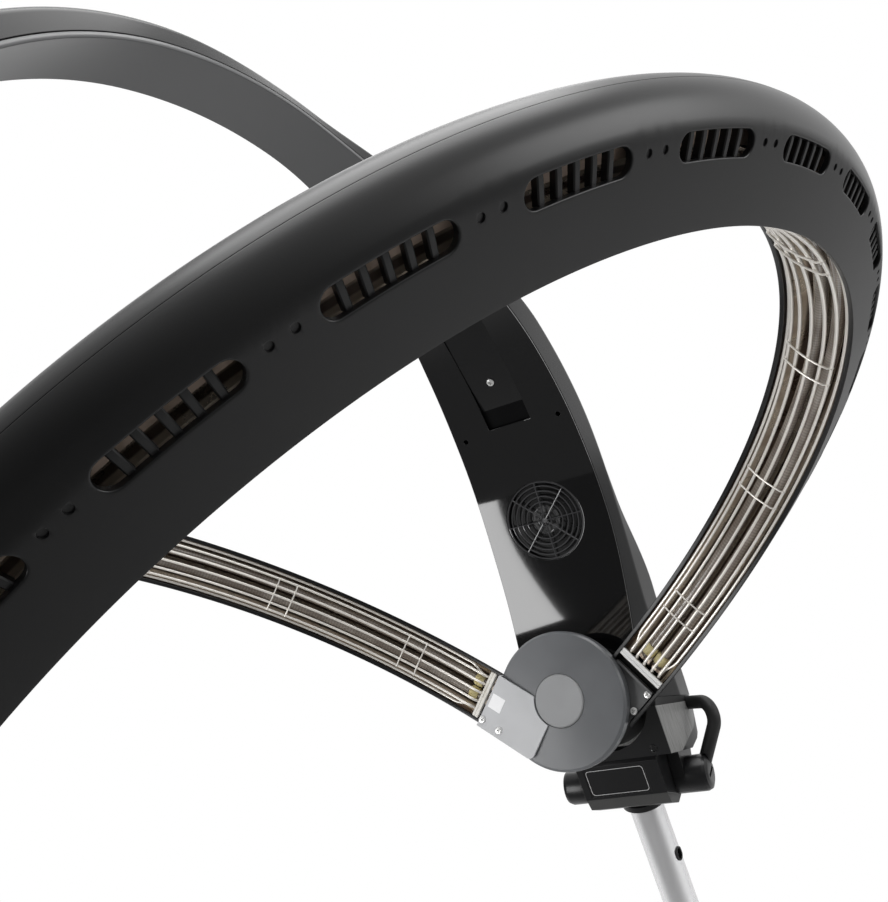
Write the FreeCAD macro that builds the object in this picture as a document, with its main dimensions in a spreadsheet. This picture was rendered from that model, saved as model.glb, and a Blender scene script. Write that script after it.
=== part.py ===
"""Infrared hair color processor on a five-castor stand, as a parametric FreeCAD document.

The machine stands on the floor at z = 0 and faces -Y. A chrome column carries a tilting head. The head
is a crescent arm with a hub low down at its back, and the hub turns a folded heater loop about an axis
that slopes down towards the back. All lengths are in millimetres and all angles in degrees.
"""
import FreeCAD, Part
import math
import os

import Sketcher
from FreeCAD import Placement, Rotation, Vector

X_AXIS, Y_AXIS, Z_AXIS = Vector(1, 0, 0), Vector(0, 1, 0), Vector(0, 0, 1)

# ---------------------------------------------------------------- driving dimensions
SIZES = {
    # where the column and the head stand
    "column_y": 195.6,
    "head_height": 1350.0,
    "hub_slope": 25.6,
    "pivot_behind_hub": 149.334,
    "pivot_below_hub": 77.986,
    "running_gap": 0.05,
    "part_gap": 0.3,
    # five-star base
    "leg_count": 5,
    "leg_reach": 292.0,
    "leg_root_width": 46.0,
    "leg_root_height": 48.0,
    "leg_tip_width": 26.0,
    "leg_tip_height": 20.0,
    "leg_underside": 62.0,
    "star_hub_radius": 46.0,
    "star_hub_height": 60.0,
    "star_floor": 10.0,
    "tip_boss_radius": 17.0,
    "cover_height": 26.0,
    "cover_wall": 3.0,
    # castors
    "wheel_radius": 25.0,
    "wheel_width": 16.0,
    "wheel_space": 10.0,
    "castor_trail": 20.0,
    "axle_radius": 4.0,
    "stem_radius": 5.5,
    "stem_length": 28.0,
    "hood_gap": 2.0,
    "hood_wall": 2.5,
    # column
    "lower_tube_room": 0.6,
    "lower_tube_wall": 2.4,
    "lower_tube_top": 620.0,
    "column_radius": 16.0,
    "column_wall": 1.5,
    "column_foot": 330.0,
    "collar_wall": 7.0,
    "collar_height": 52.0,
    "knob_radius": 17.0,
    "knob_length": 22.0,
    "knob_reach": 42.0,
    "knob_stud_radius": 4.0,
    "cable_hole_width": 10.0,
    "cable_hole_height": 13.0,
    "cable_hole_below_pivot": 76.0,
    "grommet_lip": 1.6,
    "column_collar_height": 5.0,
    # tilt block, shaft and barrels
    "block_half_width": 38.5,
    "block_front": 38.0,
    "block_back": 34.0,
    "block_round": 54.2,
    "block_under_shaft": 2.0,
    "block_chin_rise": 16.6,
    "block_chin_reach": 24.0,
    "bottom_plate": 6.0,
    "plate_recess_width": 57.0,
    "plate_recess_height": 27.0,
    "plate_recess_depth": 0.6,
    "plate_recess_lift": 9.0,
    "plate_recess_side": 3.5,
    "shaft_radius": 8.0,
    "barrel_radius": 16.0,
    "barrel_end": 70.0,
    "handle_radius": 6.0,
    "handle_reach": 96.8,
    "handle_rise": 61.8,
    "handle_bend": 14.0,
    # yoke
    "yoke_half_width": 54.0,
    "yoke_flare": 6.0,
    "yoke_waist": 66.0,
    "yoke_lean": 30.0,
    "cheek_half_width": 50.0,
    "yoke_top": 15.0,
    "yoke_bottom": 56.0,
    "yoke_before_housing": 24.5,
    "yoke_length": 108.0,
    # arm
    "arm_wall": 2.5,
    "panel_thickness": 3.0,
    "arm_chamfer": 5.0,
    "fan_angle": 26.0,
    "fan_radius": 36.0,
    "fan_depth": 15.0,
    "grille_thickness": 2.5,
    "grille_bar": 1.6,
    "grille_rings": 6,
    "grille_spokes": 9,
    "blade_count": 7,
    "cover_start_angle": 40.5,
    "cover_end_angle": 61.0,
    "cover_half_width": 21.0,
    "panel_screw_angle": 40.0,
    "panel_screw_side": 46.0,
    "panel_screw_radius": 2.2,
    # control panel on the back of the arm
    "control_angle": 50.0,
    "control_width": 58.0,
    "control_height": 118.0,
    "control_depth": 14.0,
    "control_skirt": 9.0,
    "window_width": 46.0,
    "window_height": 30.0,
    "button_radius": 6.0,
    "button_pitch": 17.0,
    "button_travel": 1.5,
    "button_proud": 2.2,
    # hub
    "hub_inset": 8.0,
    "disc_radius": 56.0,
    "disc_thickness": 11.0,
    "cap_radius": 21.2,
    "cap_proud": 2.4,
    "carrier_radius": 46.0,
    "loop_shaft_radius": 12.0,
    "stub_reach": 30.68289,
    "carrier_depth": 52.5,
    "housing_radius": 44.0,
    "housing_length": 54.0,
    "housing_wall": 4.0,
    "gear_module": 1.25,
    "ring_teeth": 36,
    "pinion_teeth": 12,
    "gear_width": 8.0,
    "motor_radius": 14.0,
    "motor_length": 30.0,
    # loop
    "arc_inside_disc": 4.9,
    "arc_tilt": 52.7,
    "rim_radius": 293.0,
    "rim_half_width": 24.0,
    "wall_draft": 14.5,
    "wall_height": 29.0,
    "shell_wall": 2.4,
    "lip_width": 3.2,
    "lip_thickness": 2.2,
    "slot_over_rim": 27.0,
    "slot_length": 43.0,
    "slot_height": 9.0,
    "slot_first": 27.1,
    "slot_pitch": 11.8,
    "slot_count": 13,
    "trough_depth": 15.0,
    "trough_floor_half": 12.5,
    "trough_wall": 0.8,
    "rod_radius": 4.0,
    "rod_depth": 10.0,
    "rod_spacing": 12.0,
    "channel_start": 5.0,
    "channel_end": 186.0,
    "ceramic_angle": 2.4,
    "wire": 1.8,
    "guard_arch": 4.5,
    "guard_inner_wire": 8.0,
    "guard_outer_wire": 14.6,
    "cross_first": 15.2,
    "cross_pair": 3.4,
    "cross_pitch": 25.0,
    "cross_count": 7,
    "end_bar": 5.0,
    "end_plate": 2.2,
    "end_plate_inner": 41.0,
    "end_plate_outer": 16.0,
    "nose_wall": 2.4,
}

# stations along the arm: its angle from the hub axis, how far its inner face lies outside the loop's rim,
# the face's half width, the depth from the face to the edge of the back, the back's rise over that edge,
# and the half width at the edge
STATION_NAMES = ("angle", "clearance", "half", "depth", "rise", "back_half")
STATIONS = (
    (-1.2, 43.0, 51.0, 88.5, 50.0, 60.0),
    (12.0, 54.5, 56.0, 35.5, 57.0, 60.0),
    (25.0, 65.5, 59.0, 26.5, 22.0, 61.0),
    (38.0, 74.5, 57.0, 35.5, 9.0, 58.5),
    (50.0, 81.0, 52.0, 36.5, 6.0, 52.5),
    (62.0, 85.5, 42.0, 25.5, 4.0, 42.0),
    (74.0, 88.0, 29.5, 21.5, 4.0, 29.0),
    (90.0, 88.5, 22.5, 12.0, 3.0, 20.0),
    (110.0, 85.5, 22.5, 16.5, 3.0, 18.0),
    (130.0, 77.5, 22.0, 16.5, 2.5, 17.5),
    (150.0, 66.0, 14.0, 9.0, 2.0, 9.5),
)
for number, station in enumerate(STATIONS, start=1):
    for name, value in zip(STATION_NAMES, station):
        SIZES[f"station_{number}_{name}"] = value

doc = FreeCAD.newDocument("hair_color_processor")
sheet = doc.addObject("Spreadsheet::Sheet", "sizes")
for row, (alias, number) in enumerate(SIZES.items(), start=1):
    sheet.set(f"A{row}", alias.replace("_", " "))
    sheet.set(f"B{row}", str(number))
    sheet.setAlias(f"B{row}", alias)
doc.recompute()


class Size:
    """A number together with the sheet expression that it follows."""

    def __init__(self, value, text):
        self.value = value
        self.text = text

    def __add__(self, other):
        other = as_size(other)
        return Size(self.value + other.value, f"({self.text} + {other.text})")

    def __sub__(self, other):
        other = as_size(other)
        return Size(self.value - other.value, f"({self.text} - {other.text})")

    def __mul__(self, other):
        other = as_size(other)
        return Size(self.value * other.value, f"({self.text} * {other.text})")

    def __truediv__(self, other):
        other = as_size(other)
        return Size(self.value / other.value, f"({self.text} / {other.text})")

    def __radd__(self, other):
        return as_size(other) + self

    def __rsub__(self, other):
        return as_size(other) - self

    def __rmul__(self, other):
        return as_size(other) * self

    def __rtruediv__(self, other):
        return as_size(other) / self

    def __neg__(self):
        return as_size(0) - self


def as_size(number):
    return number if isinstance(number, Size) else Size(float(number), repr(float(number)))


def sine(angle):
    return Size(math.sin(math.radians(angle.value)), f"sin({angle.text})")


def cosine(angle):
    return Size(math.cos(math.radians(angle.value)), f"cos({angle.text})")


def tangent(angle):
    return Size(math.tan(math.radians(angle.value)), f"tan({angle.text})")


class Sheet:
    """Reads a driving dimension by its alias, as a Size."""

    def __getattr__(self, alias):
        return Size(float(sheet.get(alias)), f"sizes.{alias}")


S = Sheet()
ZERO = as_size(0)


def bind(thing, prop, size):
    thing.setExpression(prop, as_size(size).text)


# ---------------------------------------------------------------- frames
def turn(axis, degrees):
    return Placement(Vector(), Rotation(axis, degrees))


def shift(x=0.0, y=0.0, z=0.0):
    return Placement(Vector(x, y, z), Rotation())


def columns(origin, x_dir, y_dir, z_dir):
    """The placement whose local axes point along three given directions."""
    rows = [getattr(v, k) for k in "xyz" for v in (x_dir, y_dir, z_dir, origin)]
    return Placement(FreeCAD.Matrix(*rows, 0, 0, 0, 1))


pivot_back = S.pivot_behind_hub + S.rim_radius - S.hub_inset
pivot_below = S.pivot_below_hub
head_reach = pivot_back * cosine(S.hub_slope) - pivot_below * sine(S.hub_slope)
pivot_height = S.head_height - pivot_back * sine(S.hub_slope) - pivot_below * cosine(S.hub_slope)
arc_offset = S.disc_radius - S.arc_inside_disc
hub_face = S.rim_radius - S.hub_inset
housing_front = hub_face + S.carrier_depth
block_foot = S.shaft_radius + S.block_under_shaft
yoke_front = housing_front + S.yoke_before_housing
yoke_rear = yoke_front + S.yoke_length
lower_tube_radius = S.column_radius + S.lower_tube_room + S.lower_tube_wall
collar_radius = lower_tube_radius + S.collar_wall
STAND = shift(y=S.column_y.value)
PIVOT = shift(y=S.column_y.value, z=pivot_height.value)
ACROSS = turn(Y_AXIS, 90)  # local Z becomes X, for parts turned about a cross axis
HEAD = shift(y=(S.column_y - head_reach).value, z=S.head_height.value) * turn(X_AXIS, -S.hub_slope.value)
HUB = HEAD * turn(X_AXIS, -90)  # local Z runs along the hub axis, away from the loop


def arc_frame(side):
    """Frame of one heater arc: X to the hub, Y outward over the head, Z square to the arc's plane."""
    lean = math.radians(S.arc_tilt.value)
    outward = Vector(side * math.sin(lean), 0, math.cos(lean))
    square = Y_AXIS.cross(outward)
    return HEAD * columns(Vector(side * arc_offset.value, 0, 0), Y_AXIS, outward, square)


def radial_frame(angle, radius):
    """Frame on the arm: X across the machine, Y along the arm, Z outward from the head centre."""
    a = math.radians(angle)
    out = Vector(0, math.cos(a), math.sin(a))
    return HEAD * columns(out * radius, X_AXIS, out.cross(X_AXIS), out)


# ---------------------------------------------------------------- modelling helpers
NODES = {}


def keep(node, label):
    node.Label = label
    NODES[label] = node
    return node


def new_body(name):
    return doc.addObject("PartDesign::Body", name)


def base_plane(body, role):
    return next(f for f in body.Origin.OriginFeatures if f.Role == role)


def start_arc(start, end, radius):
    """Centre and angles of the short arc from start to end; a negative radius bends it to the right."""
    chord = end - start
    half = chord.Length / 2
    rise = math.sqrt(max(radius * radius - half * half, 0))
    left = Vector(-chord.y, chord.x, 0).normalize()
    centre = start + chord * 0.5 + left * (rise if radius > 0 else -rise)
    first, last = (start, end) if radius > 0 else (end, start)
    angles = [math.atan2(p.y - centre.y, p.x - centre.x) for p in (first, last)]
    return centre, angles[0], angles[1]


def outline(body, role, corners, lift=ZERO, spin=0.0, name="Outline"):
    """A closed sketch. A corner is (x, y) or (x, y, bend), where bend is the radius of the arc that
    arrives there; it curves to the left where positive and to the right where negative."""
    sketch = body.newObject("Sketcher::SketchObject", name)
    sketch.AttachmentSupport = [(base_plane(body, role), "")]
    sketch.MapMode = "FlatFace"
    sketch.AttachmentOffset = Placement(Vector(0, 0, as_size(lift).value), Rotation(Z_AXIS, spin))
    if as_size(lift).value:
        bind(sketch, "AttachmentOffset.Base.z", lift)
    draw_loop(sketch, corners)
    return sketch


def draw_loop(sketch, corners):
    count = len(corners)
    first = sketch.GeometryCount
    places = [Vector(as_size(c[0]).value, as_size(c[1]).value, 0) for c in corners]
    starts, ends = [], []
    for i in range(count):
        here, there, target = places[i], places[(i + 1) % count], corners[(i + 1) % count]
        bend = as_size(target[2]) if len(target) > 2 else None
        if bend is None:
            sketch.addGeometry(Part.LineSegment(here, there), False)
            starts.append(1)
            ends.append(2)
            continue
        centre, begin, finish = start_arc(here, there, bend.value)
        circle = Part.Circle(centre, Z_AXIS, abs(bend.value))
        sketch.addGeometry(Part.ArcOfCircle(circle, begin, finish), False)
        starts.append(1 if bend.value > 0 else 2)
        ends.append(2 if bend.value > 0 else 1)
        fixed = sketch.addConstraint(Sketcher.Constraint("Radius", first + i, abs(bend.value)))
        sketch.setExpression(f"Constraints[{fixed}]", f"abs({bend.text})")
    for i in range(count):
        before = (i - 1) % count
        sketch.addConstraint(
            Sketcher.Constraint("Coincident", first + before, ends[before], first + i, starts[i]))
        for kind, axis, size in (("DistanceX", -2, corners[i][0]), ("DistanceY", -1, corners[i][1])):
            size = as_size(size)
            if size.value == 0:
                sketch.addConstraint(Sketcher.Constraint("PointOnObject", first + i, starts[i], axis))
                continue
            fixed = sketch.addConstraint(Sketcher.Constraint(kind, -1, 1, first + i, starts[i], size.value))
            sketch.setExpression(f"Constraints[{fixed}]", size.text)


def revolve(body, sketch, angle=360.0, name="Revolution"):
    feature = body.newObject("PartDesign::Revolution", name)
    feature.Profile = sketch
    feature.ReferenceAxis = (sketch, ["V_Axis"])
    feature.Angle = as_size(angle).value
    if isinstance(angle, Size):
        bind(feature, "Angle", angle)
    return feature


def pad(body, sketch, length, both_ways=False, name="Pad"):
    feature = body.newObject("PartDesign::Pad", name)
    feature.Profile = sketch
    feature.Length = as_size(length).value
    bind(feature, "Length", length)
    feature.Midplane = both_ways
    return feature


def pocket(body, sketch, length, name="Pocket", backwards=True):
    """A pocket cuts against the sketch's normal; backwards False cuts along it."""
    feature = body.newObject("PartDesign::Pocket", name)
    feature.Profile = sketch
    feature.Length = as_size(length).value
    bind(feature, "Length", length)
    feature.Reversed = not backwards
    return feature


def turned(label, corners, place, angle=360.0, store=True):
    """A body turned about its local Z from (radius, height) corners."""
    body = new_body(label)
    revolve(body, outline(body, "XZ_Plane", corners), angle)
    body.Placement = place
    return keep(body, label) if store else body


def plate(label, corners, thickness, place, both_ways=False, store=True):
    """A flat body padded from a closed outline in its local XY plane."""
    body = new_body(label)
    pad(body, outline(body, "XY_Plane", corners), thickness, both_ways)
    body.Placement = place
    return keep(body, label) if store else body


def cylinder(radius, height, place, name="Cylinder"):
    solid = doc.addObject("Part::Cylinder", name)
    bind(solid, "Radius", radius)
    bind(solid, "Height", height)
    solid.Placement = place
    return solid


def block(length, width, height, place, name="Box"):
    """A box centred on its local X and Y, standing on its local Z = 0."""
    solid = doc.addObject("Part::Box", name)
    for prop, size in (("Length", length), ("Width", width), ("Height", height)):
        bind(solid, prop, size)
    solid.Placement = place * shift(-as_size(length).value / 2, -as_size(width).value / 2)
    return solid


def fuse(name, *solids):
    joined = doc.addObject("Part::MultiFuse", name)
    joined.Shapes = list(solids)
    joined.Refine = True
    return joined


def cut(name, base, *tools):
    result = doc.addObject("Part::Cut", name)
    result.Base = base
    result.Tool = tools[0] if len(tools) == 1 else fuse(name + "_tools", *tools)
    result.Refine = True
    return result


def common(name, first, second):
    result = doc.addObject("Part::Common", name)
    result.Base = first
    result.Tool = second
    return result


def shaped(name, shape, place):
    """A feature whose shape is computed here, for forms that sketches and primitives can't give."""
    feature = doc.addObject("Part::Feature", name)
    feature.Shape = shape
    feature.Placement = place
    return feature


def rectangle(x_low, x_high, y_low, y_high):
    return [(x_low, y_low), (x_high, y_low), (x_high, y_high), (x_low, y_high)]


# ---------------------------------------------------------------- stand
def base_star():
    hub = turned("star_hub", rectangle(ZERO, S.star_hub_radius, S.leg_underside,
                                       S.leg_underside + S.star_hub_height), STAND, store=False)
    socket = cylinder(lower_tube_radius + S.running_gap, S.star_hub_height,
                      STAND * shift(z=(S.leg_underside + S.star_floor).value), "tube_socket")
    solids, holes = [hub], [socket]
    root = S.star_hub_radius * 0.6
    for k in range(int(S.leg_count.value)):
        place = STAND * turn(Z_AXIS, 360 / S.leg_count.value * k - 90)
        leg = new_body("leg")
        ends = []
        for at, width, height in ((root, S.leg_root_width, S.leg_root_height),
                                  (S.leg_reach, S.leg_tip_width, S.leg_tip_height)):
            low = S.leg_underside
            ends.append(outline(leg, "YZ_Plane", rectangle(-width / 2, width / 2, low, low + height), at))
        loft = leg.newObject("PartDesign::AdditiveLoft", "Loft")
        loft.Profile = ends[0]
        loft.Sections = [ends[1]]
        leg.Placement = place
        at_tip = place * shift(S.leg_reach.value)
        solids += [leg, cylinder(S.tip_boss_radius, S.leg_tip_height + 2,
                                 at_tip * shift(z=S.leg_underside.value - 2), "tip_boss")]
        holes.append(cylinder(S.stem_radius + S.running_gap, S.stem_length - 9,
                              at_tip * shift(z=S.leg_underside.value - 3), "stem_socket"))
    keep(cut("base_star_cut", fuse("base_star_solids", *solids), *holes), "base_star")


def base_cover():
    foot = S.leg_underside + S.star_hub_height + S.part_gap
    inner = lower_tube_radius + S.part_gap
    outer = S.star_hub_radius - 1
    wall = S.cover_wall
    top = foot + S.cover_height
    turned("base_cover", [(inner, top - wall), (outer * 0.62, top - wall), (outer - wall, foot), (outer, foot),
                          (outer, foot + 2), (outer * 0.66, top), (inner, top)], STAND)


def castor(number, place):
    """One swivel castor; local X trails away from the stem and local Z is up."""
    axle = place * shift(S.castor_trail.value, 0, S.wheel_radius.value) * turn(X_AXIS, 90)
    inner, outer = S.wheel_space / 2, S.wheel_space / 2 + S.wheel_width
    radius, pin = S.wheel_radius, S.axle_radius
    turned(f"castor_{number}_wheels",
           [(ZERO, -outer), (radius - 3, -outer), (radius, -outer + 3), (radius, -inner), (pin, -inner),
            (pin, inner), (radius, inner), (radius, outer - 3), (radius - 3, outer), (ZERO, outer)], axle)
    web_width = S.wheel_space - 2
    reach = S.wheel_radius + S.hood_gap
    wall = S.hood_wall
    flat = reach * math.tan(math.radians(22.5))
    hood = plate(f"hood_{number}",
                 [(-reach, ZERO), (-reach - wall, ZERO), (-reach - wall, flat + wall / 2),
                  (-flat - wall / 2, reach + wall), (flat + wall / 2, reach + wall),
                  (reach * 0.86, reach * 0.80), (reach * 0.80, reach * 0.72), (flat, reach), (-flat, reach),
                  (-reach, flat)],
                 outer * 2 + 2, axle, both_ways=True, store=False)
    web = plate(f"web_{number}",
                [(-reach - wall / 2, ZERO), (-reach * 0.3, -reach * 0.35), (reach * 0.35, -reach * 0.3),
                 (reach * 0.5, reach * 0.6), (flat, reach + wall / 2), (-flat, reach + wall / 2),
                 (-reach - wall / 2, flat)],
                web_width, axle, both_ways=True, store=False)
    crown = S.wheel_radius + S.hood_gap + S.wheel_radius
    boss = cylinder(S.stem_radius * 2, S.leg_underside - 2 - crown - S.part_gap + 4,
                    place * shift(z=crown.value - 4), "stem_boss")
    stem = cylinder(S.stem_radius, S.stem_length - 10, place * shift(z=S.leg_underside.value - 6), "stem")
    bore = cylinder(S.axle_radius + S.running_gap, web_width + 2,
                    axle * shift(z=-(web_width / 2 + 1).value), "axle_bore")
    keep(cut(f"castor_{number}_cut", fuse(f"castor_{number}_solids", hood, web, boss, stem), bore),
         f"castor_{number}_frame")


def castors():
    for k in range(int(S.leg_count.value)):
        spoke = 360 / S.leg_count.value * k - 90
        at_tip = STAND * turn(Z_AXIS, spoke) * shift(S.leg_reach.value)
        castor(k + 1, at_tip * turn(Z_AXIS, 90 - spoke))


def column():
    floor = S.leg_underside + S.star_floor
    inner = lower_tube_radius - S.lower_tube_wall
    turned("lower_column", rectangle(inner, lower_tube_radius, floor, S.lower_tube_top), STAND)

    # the collar clamps the column with a screw from the right side
    step = S.lower_tube_top + S.running_gap
    foot = step - S.collar_height * 0.45
    top = foot + S.collar_height
    ring = turned("collar_ring", [(lower_tube_radius + S.running_gap, foot), (collar_radius - 3, foot),
                                  (collar_radius, foot + 3), (collar_radius, top - 6),
                                  (collar_radius - 6, top), (S.column_radius + S.running_gap, top),
                                  (S.column_radius + S.running_gap, step),
                                  (lower_tube_radius + S.running_gap, step)], STAND, store=False)
    screw_height = (step + top) / 2 - 2
    screw = STAND * shift(z=screw_height.value) * ACROSS
    start = S.column_radius + 1.5
    boss = cylinder(S.knob_stud_radius * 2.2, S.knob_reach - 12 - start, screw * shift(z=start.value), "boss")
    hole = cylinder(S.knob_stud_radius + S.running_gap, S.knob_reach,
                    screw * shift(z=S.column_radius.value * 0.9), "stud_hole")
    bore = cylinder(S.column_radius + S.running_gap, S.collar_height,
                    STAND * shift(z=step.value - 1), "column_bore")
    keep(cut("collar_cut", fuse("collar_solids", ring, boss), hole, bore), "height_collar")
    knob(screw)

    tube_top = pivot_height - block_foot - S.running_gap
    plate_foot = pivot_height - block_foot - S.bottom_plate
    bore_radius = S.column_radius - S.column_wall
    tube = turned("column_tube", rectangle(bore_radius, S.column_radius, S.column_foot, tube_top), STAND,
                  store=False)
    hole_height = pivot_height - S.cable_hole_below_pivot
    out = STAND * shift(z=hole_height.value) * turn(Z_AXIS, -12) * ACROSS
    cable_hole = plate("cable_hole", stadium(S.cable_hole_height, S.cable_hole_width), S.column_radius + 4, out,
                       store=False)
    keep(cut("column_cut", tube, cable_hole), "chrome_column")
    lip, gap = S.grommet_lip, S.running_gap
    rim = plate("grommet_rim", stadium(S.cable_hole_height - gap * 2, S.cable_hole_width - gap * 2),
                S.column_radius + 1, out, store=False)
    clear = plate("grommet_hole", stadium(S.cable_hole_height - lip * 2, S.cable_hole_width - lip * 2),
                  S.column_radius + 4, out, store=False)
    inside = cylinder(bore_radius - 0.4, S.cable_hole_height * 2,
                      STAND * shift(z=(hole_height - S.cable_hole_height).value), "grommet_inside")
    keep(cut("grommet_cut", rim, clear, inside), "cable_grommet")
    turned("column_collar", rectangle(S.column_radius + S.running_gap, S.column_radius + 5,
                                            plate_foot - S.column_collar_height, plate_foot), STAND)


def stadium(length, width):
    """A slot outline: long along local X, with round ends."""
    half, straight = width / 2, (length - width) / 2
    return [(-straight, -half, half), (straight, -half), (straight + half, ZERO, half), (straight, half, half),
            (-straight, half), (-straight - half, ZERO, half)]


def knob(screw):
    grip_start = S.knob_reach - 10
    grip_end = grip_start + S.knob_length
    lobes = 6
    body = new_body("clamp_knob")
    revolve(body, outline(body, "XZ_Plane", [
        (ZERO, S.column_radius + 0.4), (S.knob_stud_radius, S.column_radius + 0.4),
        (S.knob_stud_radius, grip_start), (S.knob_radius * 0.55, grip_start),
        (S.knob_radius, grip_start + 5), (S.knob_radius, grip_end - 4),
        (S.knob_radius - 4, grip_end), (ZERO, grip_end)]))
    scallop = S.knob_radius * 0.42
    far = S.knob_radius * 1.22
    round_cut = outline(body, "XY_Plane", [
        (far, -scallop, scallop), (far + scallop, ZERO, scallop), (far, scallop, scallop),
        (far - scallop, ZERO, scallop)], grip_end + 1, name="Scallop")
    groove = pocket(body, round_cut, S.knob_length + 2)
    pattern = body.newObject("PartDesign::PolarPattern", "Lobes")
    pattern.Originals = [groove]
    pattern.Axis = (body.Origin.OriginFeatures[2], [""])
    pattern.Angle = 360
    pattern.Occurrences = lobes
    body.Tip = pattern
    body.Placement = screw
    keep(body, "clamp_knob")


# ---------------------------------------------------------------- tilt joint
def tilt_joint():
    half, gap = S.block_half_width, S.running_gap
    floor, front, back = -block_foot, -S.block_front, S.block_back
    across = PIVOT * columns(Vector(), Y_AXIS, Z_AXIS, X_AXIS)
    chin = (front, floor + S.block_chin_rise)
    heel = (front + S.block_chin_reach, floor)
    body = plate("block_body", [heel, (back, floor), (back, S.block_round), (front, S.block_round), chin],
                 half * 2, across, both_ways=True, store=False)
    round_top = cylinder(S.block_round, half * 2, across * shift(z=-half.value), "block_round")
    bore = cylinder(S.shaft_radius + gap, half * 2 + 2, across * shift(z=-half.value - 1), "shaft_bore")
    recess = block(S.plate_recess_width, S.plate_recess_depth * 2, S.plate_recess_height,
                   PIVOT * shift(-S.plate_recess_side.value, front.value, S.plate_recess_lift.value), "recess")
    keep(cut("tilt_block_cut", common("block_common", body, round_top), bore, recess), "tilt_block")
    under = floor - S.bottom_plate
    slab = plate("slab", [heel, chin, (front + 3, floor + S.block_chin_rise * 0.31),
                          (heel[0] - 4, under), (back, under), (back, floor)], half * 2 - 1, across,
                 both_ways=True, store=False)
    tube_hole = cylinder(S.column_radius + gap, S.bottom_plate + 2, PIVOT * shift(z=under.value - 1), "tube_hole")
    keep(cut("bottom_plate_cut", slab, tube_hole), "tilt_bottom_plate")

    turned("tilt_shaft", rectangle(ZERO, S.shaft_radius, -(S.barrel_end - 5), S.barrel_end - 5), PIVOT * ACROSS)
    start = S.cheek_half_width + gap
    for side, name in ((1, "right"), (-1, "left")):
        place = PIVOT * (ACROSS if side > 0 else turn(Y_AXIS, -90))
        slot = block(3, S.barrel_radius, 3, place * shift(z=S.barrel_end.value - 1.5), "cap_slot")
        shell = turned("barrel", [
            (S.shaft_radius + gap, start), (S.barrel_radius, start), (S.barrel_radius, S.barrel_end - 5),
            (S.barrel_radius - 1.5, S.barrel_end - 1.5), (S.barrel_radius - 5, S.barrel_end),
            (ZERO, S.barrel_end), (ZERO, S.barrel_end - 5 + gap),
            (S.shaft_radius + gap, S.barrel_end - 5 + gap)], place, store=False)
        keep(cut("barrel_cut", shell, slot), f"tilt_barrel_{name}")


def yoke_plan(name, grow=0.0):
    """The yoke's outline from above, as a leaning prism: it flares to its waist, then narrows to the back."""
    front, waist = S.yoke_half_width + grow, S.yoke_half_width + S.yoke_flare + grow
    lean = cosine(S.yoke_lean)
    ahead = (S.yoke_waist + 20) * lean
    behind = S.yoke_waist * lean
    corners = [(front - 2, -ahead), (waist, ZERO), (front, behind)]
    outline_points = corners + [(-x, y) for x, y in reversed(corners)]
    place = HEAD * shift(y=(yoke_front + S.yoke_waist).value, z=3 - S.yoke_top.value) * \
        turn(X_AXIS, S.yoke_lean.value)
    return plate(name, outline_points, as_size(240), place * shift(z=-120), store=False)


def yoke():
    """The casting that carries the arm and the hub, with a cheek on each side of the tilt block."""
    side_view = HEAD * columns(Vector(), Y_AXIS, Z_AXIS, X_AXIS)
    drop = pivot_below
    slant = (S.yoke_bottom - S.yoke_top) * tangent(S.hub_slope)
    reach = S.yoke_half_width + S.yoke_flare + 1
    profile = plate("yoke_profile", [
        (yoke_front, -S.yoke_top), (yoke_front + slant, -S.yoke_bottom), (yoke_rear - 36, -S.yoke_bottom),
        (yoke_rear - 11, -(S.yoke_bottom - 12)), (yoke_rear, -S.yoke_top)], reach * 2, side_view,
        both_ways=True, store=False)
    body = common("yoke_body", profile, yoke_plan("yoke_plan"))
    half = S.cheek_half_width
    neck = plate("yoke_neck", [
        (pivot_back - S.barrel_radius, -drop), (pivot_back + S.barrel_radius, -drop),
        (pivot_back + S.barrel_radius + 6, -(S.yoke_bottom - 4)),
        (pivot_back - S.barrel_radius - 6, -(S.yoke_bottom - 4))], half * 2, side_view, both_ways=True,
        store=False)
    at_pivot = side_view * shift(pivot_back.value, -drop.value, -half.value)
    lobe = cylinder(S.barrel_radius, half * 2, at_pivot, "yoke_lobe")
    clear = S.block_half_width + S.part_gap + 0.5
    relief = cylinder(S.block_round + 1, clear * 2,
                      side_view * shift(pivot_back.value, -drop.value, -clear.value), "block_relief")
    bore = cylinder(S.shaft_radius + S.running_gap, half * 2 + 2,
                    side_view * shift(pivot_back.value, -drop.value, -half.value - 1), "yoke_bore")
    seat = cylinder(S.housing_radius + S.running_gap, S.housing_length + 20,
                    HUB * shift(z=housing_front.value - 20), "housing_seat")
    hollow = cylinder(S.housing_radius + 4.5, S.yoke_before_housing + 8, HUB * shift(z=housing_front.value + 20),
                      "front_hollow")
    keep(cut("yoke_cut", fuse("yoke_solids", body, neck, lobe), relief, bore, seat, hollow), "tilt_yoke")


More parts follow.
